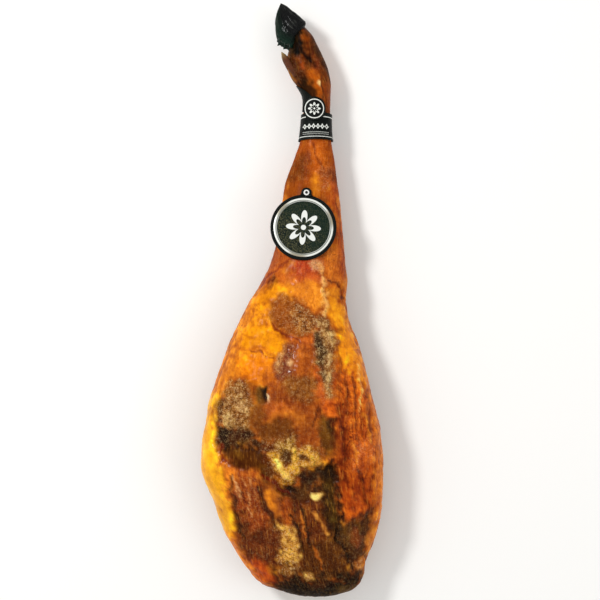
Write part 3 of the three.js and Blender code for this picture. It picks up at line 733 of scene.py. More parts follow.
# The shank and the trotter's skin, painted the same way as the lean face.
skinLayers = [
    ((160, 72, 12), 8, 0.0, 0.1, 0.12, 0.6,
     [(8, 230), (30, 234), (58, 230), (64, 180), (40, 150), (0, 150), (-14, 176)]),
    ((198, 98, 22), 8, 0.4, 0.1, 0.35, 0.5, [(24, 228), (48, 228), (46, 196), (34, 176), (24, 196)]),
    ((106, 50, 10), 7, -0.3, 0.1, 0.1, 0.5, [(-12, 172), (2, 196), (18, 214), (22, 186), (8, 168)]),
    ((146, 70, 14), 7, 0.3, 0.0, 0.15, 0.4, [(-8, 166), (10, 170), (22, 160), (10, 146), (-12, 148)]),
    ((218, 132, 28), 6, 0.4, 0.0, 0.4, 0.3, [(26, 172), (34, 182), (40, 170), (40, 154), (28, 152)]),
    ((184, 92, 38), 5, 0.6, 0.4, 0.6, 0.3,
     [(36, 190), (52, 192), (56, 180), (50, 158), (40, 158), (42, 176)]),
    ((110, 44, 16), 5, -0.6, 0.1, 0.5, 0.4, [(44, 188), (60, 184), (60, 174), (48, 176)]),
    ((182, 78, 24), 6, 0.2, 0.1, 0.5, 0.8,
     [(54, 168), (66, 160), (74, 100), (78, 40), (66, 30), (62, 90), (56, 130)]),
    ((214, 118, 32), 6, 0.6, 0.1, 0.7, 0.6, [(44, 70), (60, 72), (66, 50), (66, 26), (54, 22), (46, 40)]),
    ((178, 84, 26), 6, 0.8, 0.1, 0.6, 0.6,
     [(-28, 72), (-2, 62), (-20, 42), (-34, 28), (-50, 16), (-48, 30), (-34, 52)]),
    # dark crust and bloom round the butt's rim
    ((10, 5, 2), 7, -0.6, 0.1, 0.2, 0.2,
     [(-26, -400), (0, -404), (50, -406), (94, -398), (104, -404), (70, -440), (0, -444), (-34, -418)]),
    ((92, 66, 22), 5, 0.4, 0.1, 0.3, 0.1, [(70, -414), (88, -408), (92, -414), (78, -424), (64, -424)]),
    # trotter
    ((112, 54, 12), 7, 0.0, 0.1, 0.3, 0.5,
     [(-10, 350), (8, 372), (34, 376), (50, 340), (56, 300), (30, 288), (8, 300), (-6, 330)]),
    ((140, 66, 4), 5, 0.5, 0.0, 0.3, 0.3,
     [(13, 382), (19, 384), (26, 374), (22, 362), (14, 366), (10, 376)]),
    ((104, 42, 6), 5, 0.2, 0.0, 0.5, 0.3, [(16, 372), (26, 372), (32, 360), (26, 350), (18, 358)]),
    ((184, 90, 10), 5, 0.6, 0.0, 0.5, 0.4,
     [(20, 324), (36, 328), (43, 312), (42, 292), (27, 290), (22, 312)]),
    ((112, 52, 10), 5, 0.6, 0.1, 0.2, 0.3,
     [(4, 360), (10, 358), (16, 344), (20, 330), (14, 328), (8, 342), (3, 350)]),
    # painted highlight: a small light spot on the trotter's skin
    ((176, 76, 24), 3, 0.6, 0.0, 0.4, 0.2, [(12, 341), (16, 341), (18, 333), (15, 331), (12, 335)]),
    ((92, 22, 8), 3, 0.0, 0.0, 0.3, 0.2, [(13, 355), (16, 353), (16, 347), (13, 349)]),
    ((118, 48, 22), 5, 0.3, 0.1, 0.6, 0.3, [(28, 356), (38, 350), (42, 334), (34, 328), (26, 340)]),
    ((146, 70, 16), 4, 0.4, 0.0, 0.6, 0.6, [(43, 328), (52, 326), (55, 300), (54, 286), (44, 290)]),
    ((58, 24, 6), 6, 0.0, 0.1, 0.25, 0.4,
     [(-10, 350), (2, 352), (8, 336), (16, 326), (20, 312), (6, 308), (-4, 322)]),
    ((48, 21, 4), 6, 0.0, 0.05, 0.25, 0.3,
     [(2, 398), (12, 410), (32, 404), (52, 376), (64, 342), (68, 312), (52, 314), (40, 336), (28, 358),
     (23, 374), (15, 386), (6, 388)]),
    ((26, 10, 4), 5, -1.8, 0.0, 0.15, 0.1,
     [(3, 374), (12, 368), (22, 356), (33, 341), (27, 335), (17, 345), (9, 357), (2, 364)]),
    ((134, 92, 24), 3, 0.0, 0.1, 0.4, 0.2, [(-12, 342), (-8, 342), (2, 320), (-2, 316)]),
    # painted highlight: a small pale glint on the skin
    ((238, 206, 150), 2, 0.5, 0.0, 1.0, 0.0, [(36.5, 315.5), (40.5, 315.5), (41, 311.5), (38, 310.5)]),
    ((10, 9, 7), 3, 0.0, 0.1, 0.2, 0.1,
     [(-10, 396), (14, 400), (10, 388), (8, 376), (10, 368), (9, 360), (2, 353), (-8, 355), (-18, 372)]),
    ((6, 4, 2), 3, 0.0, 0.0, 0.1, 0.1,
     [(-8, 392), (12, 392), (10, 378), (15, 366), (8, 358), (0, 358), (-8, 368)]),
    # painted shadow: a near-black patch on the skin beside the seal strap
    ((14, 11, 5), 3.5, -0.6, 0.0, 0.1, 0.1,
     [(8, 308), (19, 317), (28, 312), (36, 299), (35, 286), (14, 286)]),
]

skinLines = [
    ((26, 9, 4), 6, -1.6, [(4, 370), (12, 361), (19, 351), (27, 340)]),
    ((64, 30, 10), 4, -0.8, [(46, 352), (50, 338), (54, 326)]),
    ((90, 42, 14), 3, -0.8, [(43, 322), (43, 300), (44, 284)]),
    ((70, 28, 10), 3, -0.8, [(2, 356), (2, 344), (8, 330)]),
    ((140, 62, 16), 5, -0.3, [(30, 226), (34, 204), (44, 190)]),
    ((134, 58, 14), 6, -0.3, [(18, 222), (20, 200), (16, 180)]),
    ((122, 50, 16), 3, -0.6, [(64, 150), (68, 110), (73, 70), (76, 30)]),
]


paintwork = {
    "fray": 1.5,  # in edge softnesses, as is the feather
    "feather": 1.4,
    "opacity": 0.9,
    "lineOpacity": 0.8,
    "warp": 4.5,
}


class PaintedSkin:
    # colour, height and finish of every point, built up layer by layer
    def __init__(self, points, colour):
        count = len(points)
        reach = paintwork["warp"]
        warp = [reach * fractalNoise(points, 28.0, 11 + 7 * axis, 2)
                + reach * fractalNoise(points, 12.0, 41 + 7 * axis, 2) for axis in (0, 1)]
        self.x = points[:, 0] + warp[0]
        self.y = points[:, 1] + warp[1]
        self.fray = fractalNoise(points, 11.0, 71, 2, 0.7)
        self.colour = np.tile(linearColour(colour), (count, 1))
        self.height = np.zeros(count)
        self.crumb = np.zeros(count)
        self.wet = np.full(count, 0.4)
        self.fibre = np.full(count, 0.5)

    def near(self, places, reach):
        low, high = np.min(places, axis=0) - reach, np.max(places, axis=0) + reach
        return np.flatnonzero((self.x > low[0]) & (self.x < high[0])
                              & (self.y > low[1]) & (self.y < high[1]))

    def blend(self, which, mask, colour, height, crumb, wet, fibre):
        self.colour[which] += (linearColour(colour) - self.colour[which]) * mask[:, None]
        self.height[which] += height * mask
        self.crumb[which] += (crumb - self.crumb[which]) * mask
        self.wet[which] += (wet - self.wet[which]) * mask
        self.fibre[which] += (fibre - self.fibre[which]) * mask

    def layer(self, shown, colour, soft, height, crumb, wet, fibre, corners):
        # the edge is feathered over its softness and frayed by as much again
        outline = roundedOutline(corners)
        which = self.near(outline, 3 * soft)
        distance = outlineDistance(self.x[which], self.y[which], outline)
        distance += self.fray[which] * paintwork["fray"] * soft
        feather = soft * paintwork["feather"]
        mask = (1.0 - smoothStep(-feather, feather, distance)) * shown[which]
        self.blend(which, mask * paintwork["opacity"], colour, height, crumb, wet, fibre)

    def line(self, shown, colour, width, height, path):
        # it thins out towards both ends
        path = splinePoints(path, np.linspace(0, len(path) - 1, 4 * len(path)))
        which = self.near(path, 2 * width)
        distance, passed = pathDistance(self.x[which], self.y[which], path)
        distance += self.fray[which] * 0.5 * width
        thin = 0.35 + 0.65 * np.sin(math.pi * np.clip(passed, 0.03, 0.97)) ** 0.5
        mask = (1.0 - smoothStep(0.0, 1.0, 1.3 * distance / (width * thin))) * shown[which]
        crumb, wet, fibre = self.crumb[which], self.wet[which], self.fibre[which]
        self.blend(which, mask * paintwork["lineOpacity"], colour, height, crumb, wet, fibre)

    def tone(self, amount, share):
        # darker parts turn redder and lighter parts yellower: red changes least, blue most
        self.colour *= np.exp((amount * share)[:, None] * np.array([0.62, 0.92, 1.15]))

    def fat(self):
        # fat is where the flesh is neither fibrous nor crumbed
        return (1 - self.fibre) ** 2 * (1 - self.crumb)


def spreadOver(grid, times=3, reach=2):
    # a running mean over neighbouring rows and columns
    for _ in range(times):
        for axis, mode in ((0, "edge"), (1, "wrap")):
            width = [(0, 0), (0, 0)]
            width[axis] = (reach, reach)
            padded = np.pad(grid, width, mode=mode)
            steps = [np.take(padded, step + np.arange(grid.shape[axis]), axis)
                     for step in range(2 * reach + 1)]
            grid = sum(steps) / len(steps)
    return grid


def settled(grid):
    # broad dips in the lean face, then the flat that the leg rests on
    x, y, z = grid[..., 0], grid[..., 1], grid[..., 2]
    for middleX, middleY, reachX, reachY, depth in leg["dips"]:
        spread = ((x - middleX) / reachX) ** 2 + ((y - middleY) / reachY) ** 2
        z = z - depth * np.exp(-spread) * smoothStep(65, 105, grid[..., 2])
    return np.stack([x, y, np.maximum(z, 0.0)], axis=-1)


flesh = {
    "swell": 1.8,
    "lump": 1.5,
    "fold": 2.8,
    "crumbs": 2.0,
    "seamDepth": 0.6,
    "seamShade": 0.8,
    "hollowDepth": 1.1,
    "hollowShade": 0.55,
}


def paintLeg(flat, up):
    alongLeg = flat[:, 1]
    everywhere = np.arange(len(flat))
    paint = PaintedSkin(flat, (186, 92, 22))
    # the lean face starts from gold, amber and brown clouds
    cloud = fractalNoise(flat, 34.0, 101, 4)
    paint.blend(everywhere, smoothStep(0.02, 0.3, cloud), (228, 142, 34), 0.0, 0.0, 0.6, 0.4)
    paint.blend(everywhere, smoothStep(-0.05, -0.32, cloud), (122, 58, 16), 0.0, 0.1, 0.3, 0.6)
    # rind under the leg: brown and bloomed
    mottle = fractalNoise(flat, 60.0, 201, 4)
    under = smoothStep(0.25, -0.45, up) * smoothStep(190, 60, alongLeg)
    paint.blend(everywhere, under, (150, 86, 32), 0.0, 0.2, 0.35, 0.3)
    bloom = under * smoothStep(0.0, 0.4, mottle)
    paint.blend(everywhere, bloom, (178, 132, 76), 0.0, 0.45, 0.15, 0.2)
    stain = under * smoothStep(0.05, 0.4, fractalNoise(flat, 80.0, 231, 4))
    paint.blend(everywhere, stain * 0.8, (86, 46, 18), 0.0, 0.1, 0.4, 0.2)

    faceShown = smoothStep(-0.1, 0.25, up)
    for layer in faceLayers:
        paint.layer(faceShown, *layer)
    for layer in skinLayers:
        paint.layer(smoothStep(-0.5, -0.1, up), *layer)
    for line in faceLines + skinLines:
        paint.line(faceShown, *line)

    # mottling at several sizes, and thin dark seams where the flesh has dried and parted
    meat = smoothStep(60, -20, alongLeg)
    fat = paint.fat()
    paint.tone(fractalNoise(flat, 24.0, 401, 4, 0.6), (0.7 + 0.6 * meat) * (1 - 0.5 * fat))
    paint.tone(fractalNoise(flat, 7.0, 431, 3, 0.7), (0.6 + 0.7 * meat) * (1 - 0.8 * fat))
    run = flat * np.array([1.0, 0.35, 1.0])
    seam = smoothStep(0.07, 0.0, np.abs(fractalNoise(run, 17.0, 461, 3)))
    seam *= smoothStep(0.0, 0.3, fractalNoise(flat, 40.0, 491, 2)) * smoothStep(0.1, 0.5, up)
    seam *= 1 - 0.7 * fat
    paint.tone(-seam, flesh["seamShade"] * meat)
    paint.height -= flesh["seamDepth"] * seam * meat
    paint.colour *= np.array([1.0, 0.94, 0.66])  # cured fat and flesh hold little blue
    return paint


def makeHam():
    count = len(leg["ribs"]) - 1
    rows = evenRows(legSurface, 0, count, leg["rows"])[1:-1]
    angles = spreadAngles(leg["topColumns"], leg["bottomColumns"])
    at, angle = np.meshgrid(rows, angles, indexing="ij")
    grid = settled(legSurface(at, angle))
    normal = gridNormals(grid).reshape(-1, 3)
    flat = grid.reshape(-1, 3)
    up, alongLeg = normal[:, 2], flat[:, 1]
    paint = paintLeg(flat, up)

    # uneven flesh: broad swells, small lumps and folds that run with the leg
    meat = smoothStep(30, -20, alongLeg)
    swell = fractalNoise(flat, 46.0, 301, 3) * flesh["swell"]
    lump = fractalNoise(flat, 12.0, 331, 3) * flesh["lump"]
    run = flat * np.array([1.0, 0.2, 1.0])
    fold = -np.abs(fractalNoise(run, 10.0, 361, 3)) * flesh["fold"] * (0.3 + paint.fibre)
    crumbs = fractalNoise(flat, 4.2, 391, 2) * flesh["crumbs"] * paint.crumb
    fat = paint.fat()
    rough = (swell + (lump + fold) * (1 - 0.6 * fat)) * (0.30 + 0.70 * meat) + crumbs
    nearPieces = smoothStep(222, 212, alongLeg) + smoothStep(290, 305, alongLeg)
    besideTag = smoothStep(40, 62, alongLeg) * smoothStep(172, 160, alongLeg)
    height = (paint.height + rough) * nearPieces * (1 - besideTag * smoothStep(0.2, 0.5, up))
    height *= (1 - 0.8 * smoothStep(345, 365, alongLeg)) * (0.35 + 0.65 * smoothStep(-0.9, 0.1, up))

    # painted shade and light: hollows are darkened and crests lightened by how far they lie below or above
    # the mean of their neighbours
    heights = height.reshape(grid.shape[:2])
    relief = (heights - spreadOver(heights)).ravel()
    paint.tone(np.clip(relief / flesh["hollowDepth"], -1.1, 1.0), flesh["hollowShade"])

    placed = flat + normal * height[:, None]
    placed[:, 2] = np.maximum(placed[:, 2], 0.0)
    colour = np.hstack([np.clip(paint.colour, 0.001, 1.0), np.ones((len(flat), 1))])
    # where a point lies across and along the run of the fibres, in metres
    around = np.cumsum(np.linalg.norm(grid - np.roll(grid, 1, axis=1), axis=-1), axis=1)
    around -= around[:, leg["topColumns"] // 2][:, None]
    flow = np.stack([around, grid[..., 1], 0 * around], axis=-1) * mm
    ends = legSurface(np.array([0.0, count]), np.array([0.0, 0.0]))
    return addTube("hamFlesh", placed.reshape(grid.shape), ends, tint=colour, crumb=paint.crumb,
                   wet=paint.wet, fibre=paint.fibre, flow=flow)


def fleshMaterial():
    material, tree, shader = newMaterial("cured flesh")
    place = addNode(tree, "TexCoord").outputs["Object"]
    tint = readAttribute(tree, "tint", "Color")
    crumb = readAttribute(tree, "crumb", "Fac")
    wet = readAttribute(tree, "wet", "Fac")
    fibre = readAttribute(tree, "fibre", "Fac")
    flow = readAttribute(tree, "flow", "Vector")

    tone = placeGroup(tree, toneGroup, {"Vector": place, "Size": 0.012})["Value"]
    streak = placeGroup(tree, fibreGroup, {"Vector": flow, "Width": 0.0026, "Length": 7.0})["Value"]
    fine = placeGroup(tree, grainGroup, {"Vector": place, "Size": 0.0017})
    coarse = placeGroup(tree, grainGroup, {"Vector": place, "Size": 0.0042})
    crack = placeGroup(tree, crackGroup, {"Vector": flow, "Size": 0.011, "Length": 2.4})["Value"]
    crack = times(tree, crack, mathNode(tree, "MULTIPLY_ADD", fibre, 0.8, 0.1, clamp=True))

    # small light and dark clouds, then streaks where the flesh is fibrous
    cloud = times(tree, tone, mathNode(tree, "MULTIPLY_ADD", fibre, 0.3, 0.14))
    colour = mixColour(tree, cloud, tint, (176, 92, 40), "MULTIPLY")
    dark = inverse(tree, rampValue(tree, streak, 0.34, 0.52))
    pale = rampValue(tree, streak, 0.52, 0.7)
    colour = mixColour(tree, times(tree, dark, fibre, 0.5), colour, (168, 84, 40), "MULTIPLY")
    colour = mixColour(tree, times(tree, pale, fibre, 0.3), colour, (244, 160, 60))
    # crumbs: cream specks and dark pits
    colour = mixColour(tree, times(tree, coarse["Light"], crumb, 0.55), colour, (226, 186, 122))
    colour = mixColour(tree, times(tree, fine["Light"], crumb, 0.5), colour, (242, 208, 154))
    colour = mixColour(tree, times(tree, coarse["Dark"], crumb, 0.7), colour, (54, 28, 11))
    colour = mixColour(tree, times(tree, fine["Dark"], crumb, 0.35), colour, (52, 28, 12))
    colour = mixColour(tree, times(tree, fine["Dark"], 0.18), colour, (120, 60, 22), "MULTIPLY")
    colour = mixColour(tree, times(tree, crack, 0.85), colour, (120, 58, 22), "MULTIPLY")

    rough = mathNode(tree, "MULTIPLY_ADD", wet, -0.34, 0.56)
    rough = mathNode(tree, "MULTIPLY_ADD", crumb, 0.16, rough)
    rough = mathNode(tree, "MULTIPLY_ADD", tone, 0.12, rough, clamp=True)

    crumbHeight = times(tree, coarse["Height"], mathNode(tree, "ADD", crumb, 0.03))
    normal = bumpFrom(tree, crumbHeight, 0.0024, 0.8)
    normal = bumpFrom(tree, times(tree, streak, mathNode(tree, "ADD", fibre, 0.08)), 0.0016, 0.7, normal)
    fineHeight = times(tree, fine["Height"], mathNode(tree, "ADD", crumb, 0.25))
    normal = bumpFrom(tree, fineHeight, 0.0006, 0.6, normal)
    normal = bumpFrom(tree, crack, 0.0009, -0.8, normal)
    setInputs(tree, shader, {
        "Base Color": colour,
        "Roughness": rough,
        "Specular IOR Level": 0.025,
        "Coat Weight": times(tree, wet, wet, 0.5),
        "Coat Roughness": 0.18,
        "Coat IOR": 1.4,
        "Normal": normal,
    })
    return material


hamPiece = addPiece(makeHam(), fleshMaterial(), "ham")
print("ham made:", len(hamPiece.data.polygons), "faces")


# horn: two toes and two dewclaws

horn = {
    "rows": 110,
    "columns": 120,
    # heel side x, y, lowest level, then front side x, y, highest level
    "ribs": [
        (2, 363, 46.5, 19.5, 398, 67), (-8, 368, 46.5, 18, 401.5, 67.5),
        (-18, 375, 46.5, 13.5, 406, 67), (-22.6, 386, 46.8, 6.5, 412, 65.5),
        (-24, 400, 47.2, -2, 418.6, 62.5), (-23, 414, 48, -9, 424.8, 58),
        (-17, 429, 51.5, -17, 429, 51.5),
    ],
    "squareness": 2.2,
    "grooveDepth": 1.0,
    "edgeWander": 0.45,
    "ledgeDepth": 0.5,
    "setBack": 0.95,  # in ribs, how far the horn's edge draws back on its broad side
    "frayLength": 4.0,  # how far the ragged top edge of the horn hangs over the heel
    "frayWay": (-0.7, -0.7, -0.1),
    "nubs": [(0.5, 0.5), (1.2, 0.8), (1.6, 0.3), (2.0, 1.0), (2.4, 0.35)],  # on the heel: rib, length
    "nubWidth": 0.13,
    "middleLevel": 45,  # the lower toe mirrors the upper one about this level
    "lowerShift": (-1.2, -2.5, 0),
}

dewclaw = {
    "rows": 44,
    "columns": 40,
    "line": [(5, 324, 55), (-2, 335, 57), (-8.5, 345.5, 58.5), (-13, 352.5, 59), (-15.8, 357, 58.5)],
    "radii": [3.6, 4.8, 4.4, 3.0, 0.6],
    "groove": 0.16,
}


def mirrored(grid, shift=(0, 0, 0)):
    # the lower twin of a horn, its columns turned round so that its faces still look outwards
    twin = grid * np.array([1, 1, -1]) + np.array([0, 0, 2 * horn["middleLevel"]])
    return (twin + np.array(shift))[:, ::-1]


def hornMaterial():
    # near-black horn: fine grey grooves along it, greenish towards its heel side
    material, tree, shader = newMaterial("black horn")
    place = addNode(tree, "TexCoord").outputs["Object"]
    run = readAttribute(tree, "run", "Vector")
    heel = addNode(tree, "SeparateXYZ", {"Vector": run}).outputs["Z"]
    streak = placeGroup(tree, fibreGroup, {"Vector": run, "Width": 0.0012, "Length": 14.0})["Value"]
    grain = placeGroup(tree, grainGroup, {"Vector": place, "Size": 0.002})
    colour = mixColour(tree, heel, (8, 9, 9), (10, 36, 25))
    pale = times(tree, rampValue(tree, streak, 0.56, 0.70), 0.5)
    colour = mixColour(tree, pale, colour, (88, 90, 84))
    pitted = times(tree, grain["Dark"], 0.5)
    colour = mixColour(tree, pitted, colour, (4, 4, 4))
    normal = bumpFrom(tree, streak, 0.0024, 0.9)
    normal = bumpFrom(tree, grain["Height"], 0.0012, 0.7, normal)
    setInputs(tree, shader, {
        "Base Color": colour,
        "Roughness": mathNode(tree, "MULTIPLY_ADD", streak, 0.3, 0.14),
        "Specular IOR Level": 0.05,
        "Coat Weight": 0.1,
        "Coat Roughness": 0.14,
        "Normal": normal,
    })
    return material


def makeClaw(name, lower):
    count = len(horn["ribs"]) - 1
    angles = np.arange(horn["columns"]) / horn["columns"] * 2 * math.pi
    share, angle = np.meshgrid(np.linspace(0, 1, horn["rows"]), angles, indexing="ij")
    cosine, seed = np.cos(angle), 5 * lower
    rim = wheelPoints(angle, 7, 0)
    uneven = gridNoise(rim, 2.6, 601 + seed, 3)
    start = (horn["setBack"] * np.maximum(0, np.sin(angle)) ** 1.5
             + horn["edgeWander"] * uneven * (1 - cosine ** 4))
    at = np.maximum(start, 0.0) * (1 - share) + (count - 0.02) * share
    points = ribSurface(*edgesAt(horn["ribs"], at), angle, horn["squareness"])
    normal = gridNormals(points)
    # grooves round the horn and broad ledges, both fading out at its tip
    groove = gridNoise(wheelPoints(angle, 6, 0.35 * at), 0.9, 611 + seed, 3) - 0.15
    ledge = gridNoise(points, 7.0, 621 + seed, 3)
    relief = groove * horn["grooveDepth"] + horn["ledgeDepth"] * ledge
    relief *= np.minimum(1.0, 3.0 * (count - at) / count)
    # ragged edge: the first rows are drawn back by uneven lengths on the heel side
    ragged = smoothStep(0.0, 0.4, gridNoise(rim, 1.7, 631 + seed, 2))
    back = smoothStep(0.09, 0.0, share) * smoothStep(0.2, -0.8, cosine) * ragged
    for middle, length in horn["nubs"]:
        back += length * np.exp(-((at - middle) / horn["nubWidth"]) ** 2) * np.maximum(0, -cosine) ** 8
    points = points + normal * relief[..., None]
    points = points + back[..., None] * horn["frayLength"] * np.array(horn["frayWay"])
    run = np.stack([angle * 10 * mm, at * 11 * mm, smoothStep(-0.1, -0.9, cosine)], axis=-1)
    if lower:
        points, run = mirrored(points, horn["lowerShift"]), run[:, ::-1]
    return addTube(name, points, run=run)


def makeDewclaw(name, lower):
    rows, columns = dewclaw["rows"], dewclaw["columns"]
    at = np.linspace(0, len(dewclaw["line"]) - 1, rows)
    middle = splinePoints(dewclaw["line"], at)
    along = np.gradient(middle, axis=0)
    along /= np.linalg.norm(along, axis=1)[:, None]
    radius = np.maximum(splinePoints([(r, 0, 0) for r in dewclaw["radii"]], at)[:, 0], 0.2)
    side = np.cross(along, (0.0, 0.0, 1.0))
    side /= np.linalg.norm(side, axis=1)[:, None]
    rise = np.cross(side, along)
    angle = np.arange(columns) / columns * 2 * math.pi
    groove = gridNoise(wheelPoints(angle, 5, 0.5 * at[:, None]), 1.4, 651 + 5 * lower, 3)
    reach = radius[:, None] * (1 + dewclaw["groove"] * groove)
    points = (middle[:, None] + (reach * np.cos(angle))[..., None] * side[:, None]
              + (reach * np.sin(angle))[..., None] * rise[:, None])
    share = np.broadcast_to(at[:, None] / at[-1], (rows, columns))
    return addTube(name, mirrored(points) if lower else points, share=share)


def paleHornMaterial():
    # brown at the skin, paler and yellower towards the tip
    material, tree, shader = newMaterial("pale horn")
    place = addNode(tree, "TexCoord").outputs["Object"]
    share = readAttribute(tree, "share", "Fac")
    grain = placeGroup(tree, grainGroup, {"Vector": place, "Size": 0.0016})
    cloud = placeGroup(tree, toneGroup, {"Vector": place, "Size": 0.006})["Value"]
    colour = mixColour(tree, rampValue(tree, share, 0.5, 0.95), (92, 44, 12), (156, 130, 78))
    colour = mixColour(tree, times(tree, cloud, 0.45), colour, (120, 84, 44), "MULTIPLY")
    colour = mixColour(tree, times(tree, grain["Dark"], 0.5), colour, (52, 30, 14))
    setInputs(tree, shader, {
        "Base Color": colour,
        "Roughness": 0.5,
        "Specular IOR Level": 0.2,
        "Normal": bumpFrom(tree, grain["Height"], 0.0008, 0.8),
    })
    return material


blackHorn, paleHorn = hornMaterial(), paleHornMaterial()
addPiece(makeClaw("clawUpper", False), blackHorn, "claw_upper")
addPiece(makeClaw("clawLower", True), blackHorn, "claw_lower")
addPiece(makeDewclaw("dewclawUpper", False), paleHorn, "dewclaw_upper")
addPiece(makeDewclaw("dewclawLower", True), paleHorn, "dewclaw_lower")
print("horn made")


# the label, its badge and the seal strap

sleeves = {
    "columns": 220,
    "labelFrom": 25.15,  # in ribs, as are the bow, the strap's middle, its reach and its half width
    "labelTo": 26.78,
    "labelBow": 0.09,
    "labelThickness": 0.9,
    "labelRise": 2.1,
    "labelWrinkle": 0.35,
    "strapMiddle": 27.45,
    "strapReach": 1.3,
    "strapHalfWidth": 0.62,
    "strapThickness": 1.2,
    "strapRise": 0.45,
    "strapWrinkle": 0.12,
    "strapFlare": 1.15,
    "strapDip": 0.4,  # how far its upper edge sinks on the crest
    "pitch": 6.3,  # of the printed lozenges, in millimetres
    "lineShares": (0.13, 0.865),  # of the label's width, as are the chain's middle and the dots
    "chainShare": 0.54,
    "dotShares": (0.32, 0.24),
}

sealHead = {
    "length": 14,
    "width": 15,
    "height": 6,
    "corner": 1.0,
    "sunk": 0.5,  # into the strap
    "tail": 13,
    "tailWidth": 10.5,
    "tailThickness": 1.4,
    "tailCorner": 0.5,
    "tailLevel": -5,
}

badge = {
    "radius": 17.2,
    "thickness": 0.9,
    "bend": 27,
    "x": 31.4,
    "y": 275,
    "ringOuter": 14.1,
    "ringInner": 12.7,
    "petalReach": 9.0,
}


def makeSleeve(name, lower, upper, rise, thickness, steps, wrinkle, seed):
    # a closed band: up the outside, over the edge and down the inside, with rows close to each edge
    columns = sleeves["columns"]
    share = np.concatenate([[0, 0.012], np.linspace(0.03, 0.97, steps), [0.988, 1]])
    share = np.concatenate([share, share[::-1]])[:, None]
    outside = (np.arange(len(share)) < len(share) / 2)[:, None]
    angle = (np.arange(columns) / columns * 2 * math.pi)[None, :]
    at = lower(angle) * (1 - share) + upper(angle) * share
    angle = np.broadcast_to(angle, at.shape)
    wheel = wheelPoints(angle, 20, 16 * share)
    ripple = gridNoise(wheel, 8.0, seed, 3)
    crease = -np.abs(gridNoise(wheel * np.array([1, 1, 0.4]), 6.0, seed + 9, 2))
    lift = wrinkle * (ripple + crease)
    points = legSurface(at, angle, rise + thickness * outside + lift)
    piece = addMesh(name, points * mm, gridFaces(len(share), columns, closedRows=True))
    top = points[..., 0] - 0.5 * (points[..., 0].min() + points[..., 0].max())
    band = np.stack([top * mm, np.broadcast_to(share, at.shape), 0 * top], axis=-1)
    addAttribute(piece, "band", band)
    return piece


def labelBow(angle):
    return sleeves["labelBow"] * np.maximum(0.0, np.sin(angle))


def strapMiddle(angle):
    # it climbs slowly over the crest and steeply on to the heel side
    lean = np.cos(angle)
    return sleeves["strapMiddle"] - sleeves["strapReach"] * np.sign(lean) * np.abs(lean) ** 1.5


def filmMaterial(name, decorate, roughness=0.4):
    # black printed film with small scuffs; decorate says where the white print is
    material, tree, shader = newMaterial(name)
    place = addNode(tree, "TexCoord").outputs["Object"]
    cloud = placeGroup(tree, toneGroup, {"Vector": place, "Size": 0.008})["Value"]
    grain = placeGroup(tree, grainGroup, {"Vector": place, "Size": 0.0012})
    colour = mixColour(tree, times(tree, cloud, 0.6), (6, 8, 7), (16, 24, 19))
    if decorate:
        colour = mixColour(tree, decorate(tree), colour, (232, 234, 226))
    colour = mixColour(tree, times(tree, grain["Dark"], 0.5), colour, (18, 19, 16))
    normal = bumpFrom(tree, cloud, 0.0005, 0.5)
    setInputs(tree, shader, {
        "Base Color": colour,
        "Roughness": mathNode(tree, "MULTIPLY_ADD", cloud, 0.15, roughness),
        "Specular IOR Level": 0.07,
        "Normal": bumpFrom(tree, grain["Height"], 0.0002, 0.4, normal),
    })
    return material


def bandMask(tree, value, middle, halfWidth, edge):
    # 1 within halfWidth of the middle
    distance = mathNode(tree, "ABSOLUTE", mathNode(tree, "SUBTRACT", value, middle))
    return inverse(tree, rampValue(tree, distance, halfWidth - edge, halfWidth + edge))


def lozenge(tree, sideways, upright, half, slope):
    # 1 where the two distances from its middle, the first weighed by the slope, add up to under half
    reach = mathNode(tree, "ADD", times(tree, sideways, slope), upright)
    return inverse(tree, rampValue(tree, reach, half - 0.006, half + 0.006))


def labelPrint(tree):
    # thin lines along both edges, a chain of lozenges and dots between them, and two dotted lines
    band = readAttribute(tree, "band", "Vector")
    split = addNode(tree, "SeparateXYZ", {"Vector": band})
    across, share = split.outputs["X"], split.outputs["Y"]
    lines = larger(tree, *(bandMask(tree, share, at, 0.014, 0.006) for at in sleeves["lineShares"]))
    turn = mathNode(tree, "DIVIDE", across, sleeves["pitch"] * mm)
    cell = mathNode(tree, "SUBTRACT", mathNode(tree, "FRACT", turn), 0.5)
    sideways = mathNode(tree, "ABSOLUTE", cell)
    upright = mathNode(tree, "ABSOLUTE", mathNode(tree, "SUBTRACT", share, sleeves["chainShare"]))
    large = lozenge(tree, sideways, upright, 0.1, 0.26)
    core = lozenge(tree, sideways, upright, 0.045, 0.26)
    small = lozenge(tree, mathNode(tree, "SUBTRACT", 0.5, sideways), upright, 0.028, 0.2)
    chain = larger(tree, mathNode(tree, "SUBTRACT", large, core), small)
    beads = bandMask(tree, mathNode(tree, "FRACT", times(tree, turn, 4.0)), 0.5, 0.24, 0.1)
    wideRow, thinRow = sleeves["dotShares"]
    rows = larger(tree, bandMask(tree, share, wideRow, 0.016, 0.008),
                  bandMask(tree, share, thinRow, 0.012, 0.006))
    dots = times(tree, beads, rows)
    shown = bandMask(tree, across, 0.0, 3 * sleeves["pitch"] * mm, 0.0002)
    middle = times(tree, larger(tree, chain, dots), shown)
    return larger(tree, lines, middle)


def polar(tree):
    # distance from a piece's own middle and direction round it
    local = readAttribute(tree, "local", "Vector")
    split = addNode(tree, "SeparateXYZ", {"Vector": local})
    x, y = split.outputs["X"], split.outputs["Y"]
    squares = mathNode(tree, "ADD", times(tree, x, x), times(tree, y, y))
    return mathNode(tree, "SQRT", squares), mathNode(tree, "ARCTAN2", y, x)


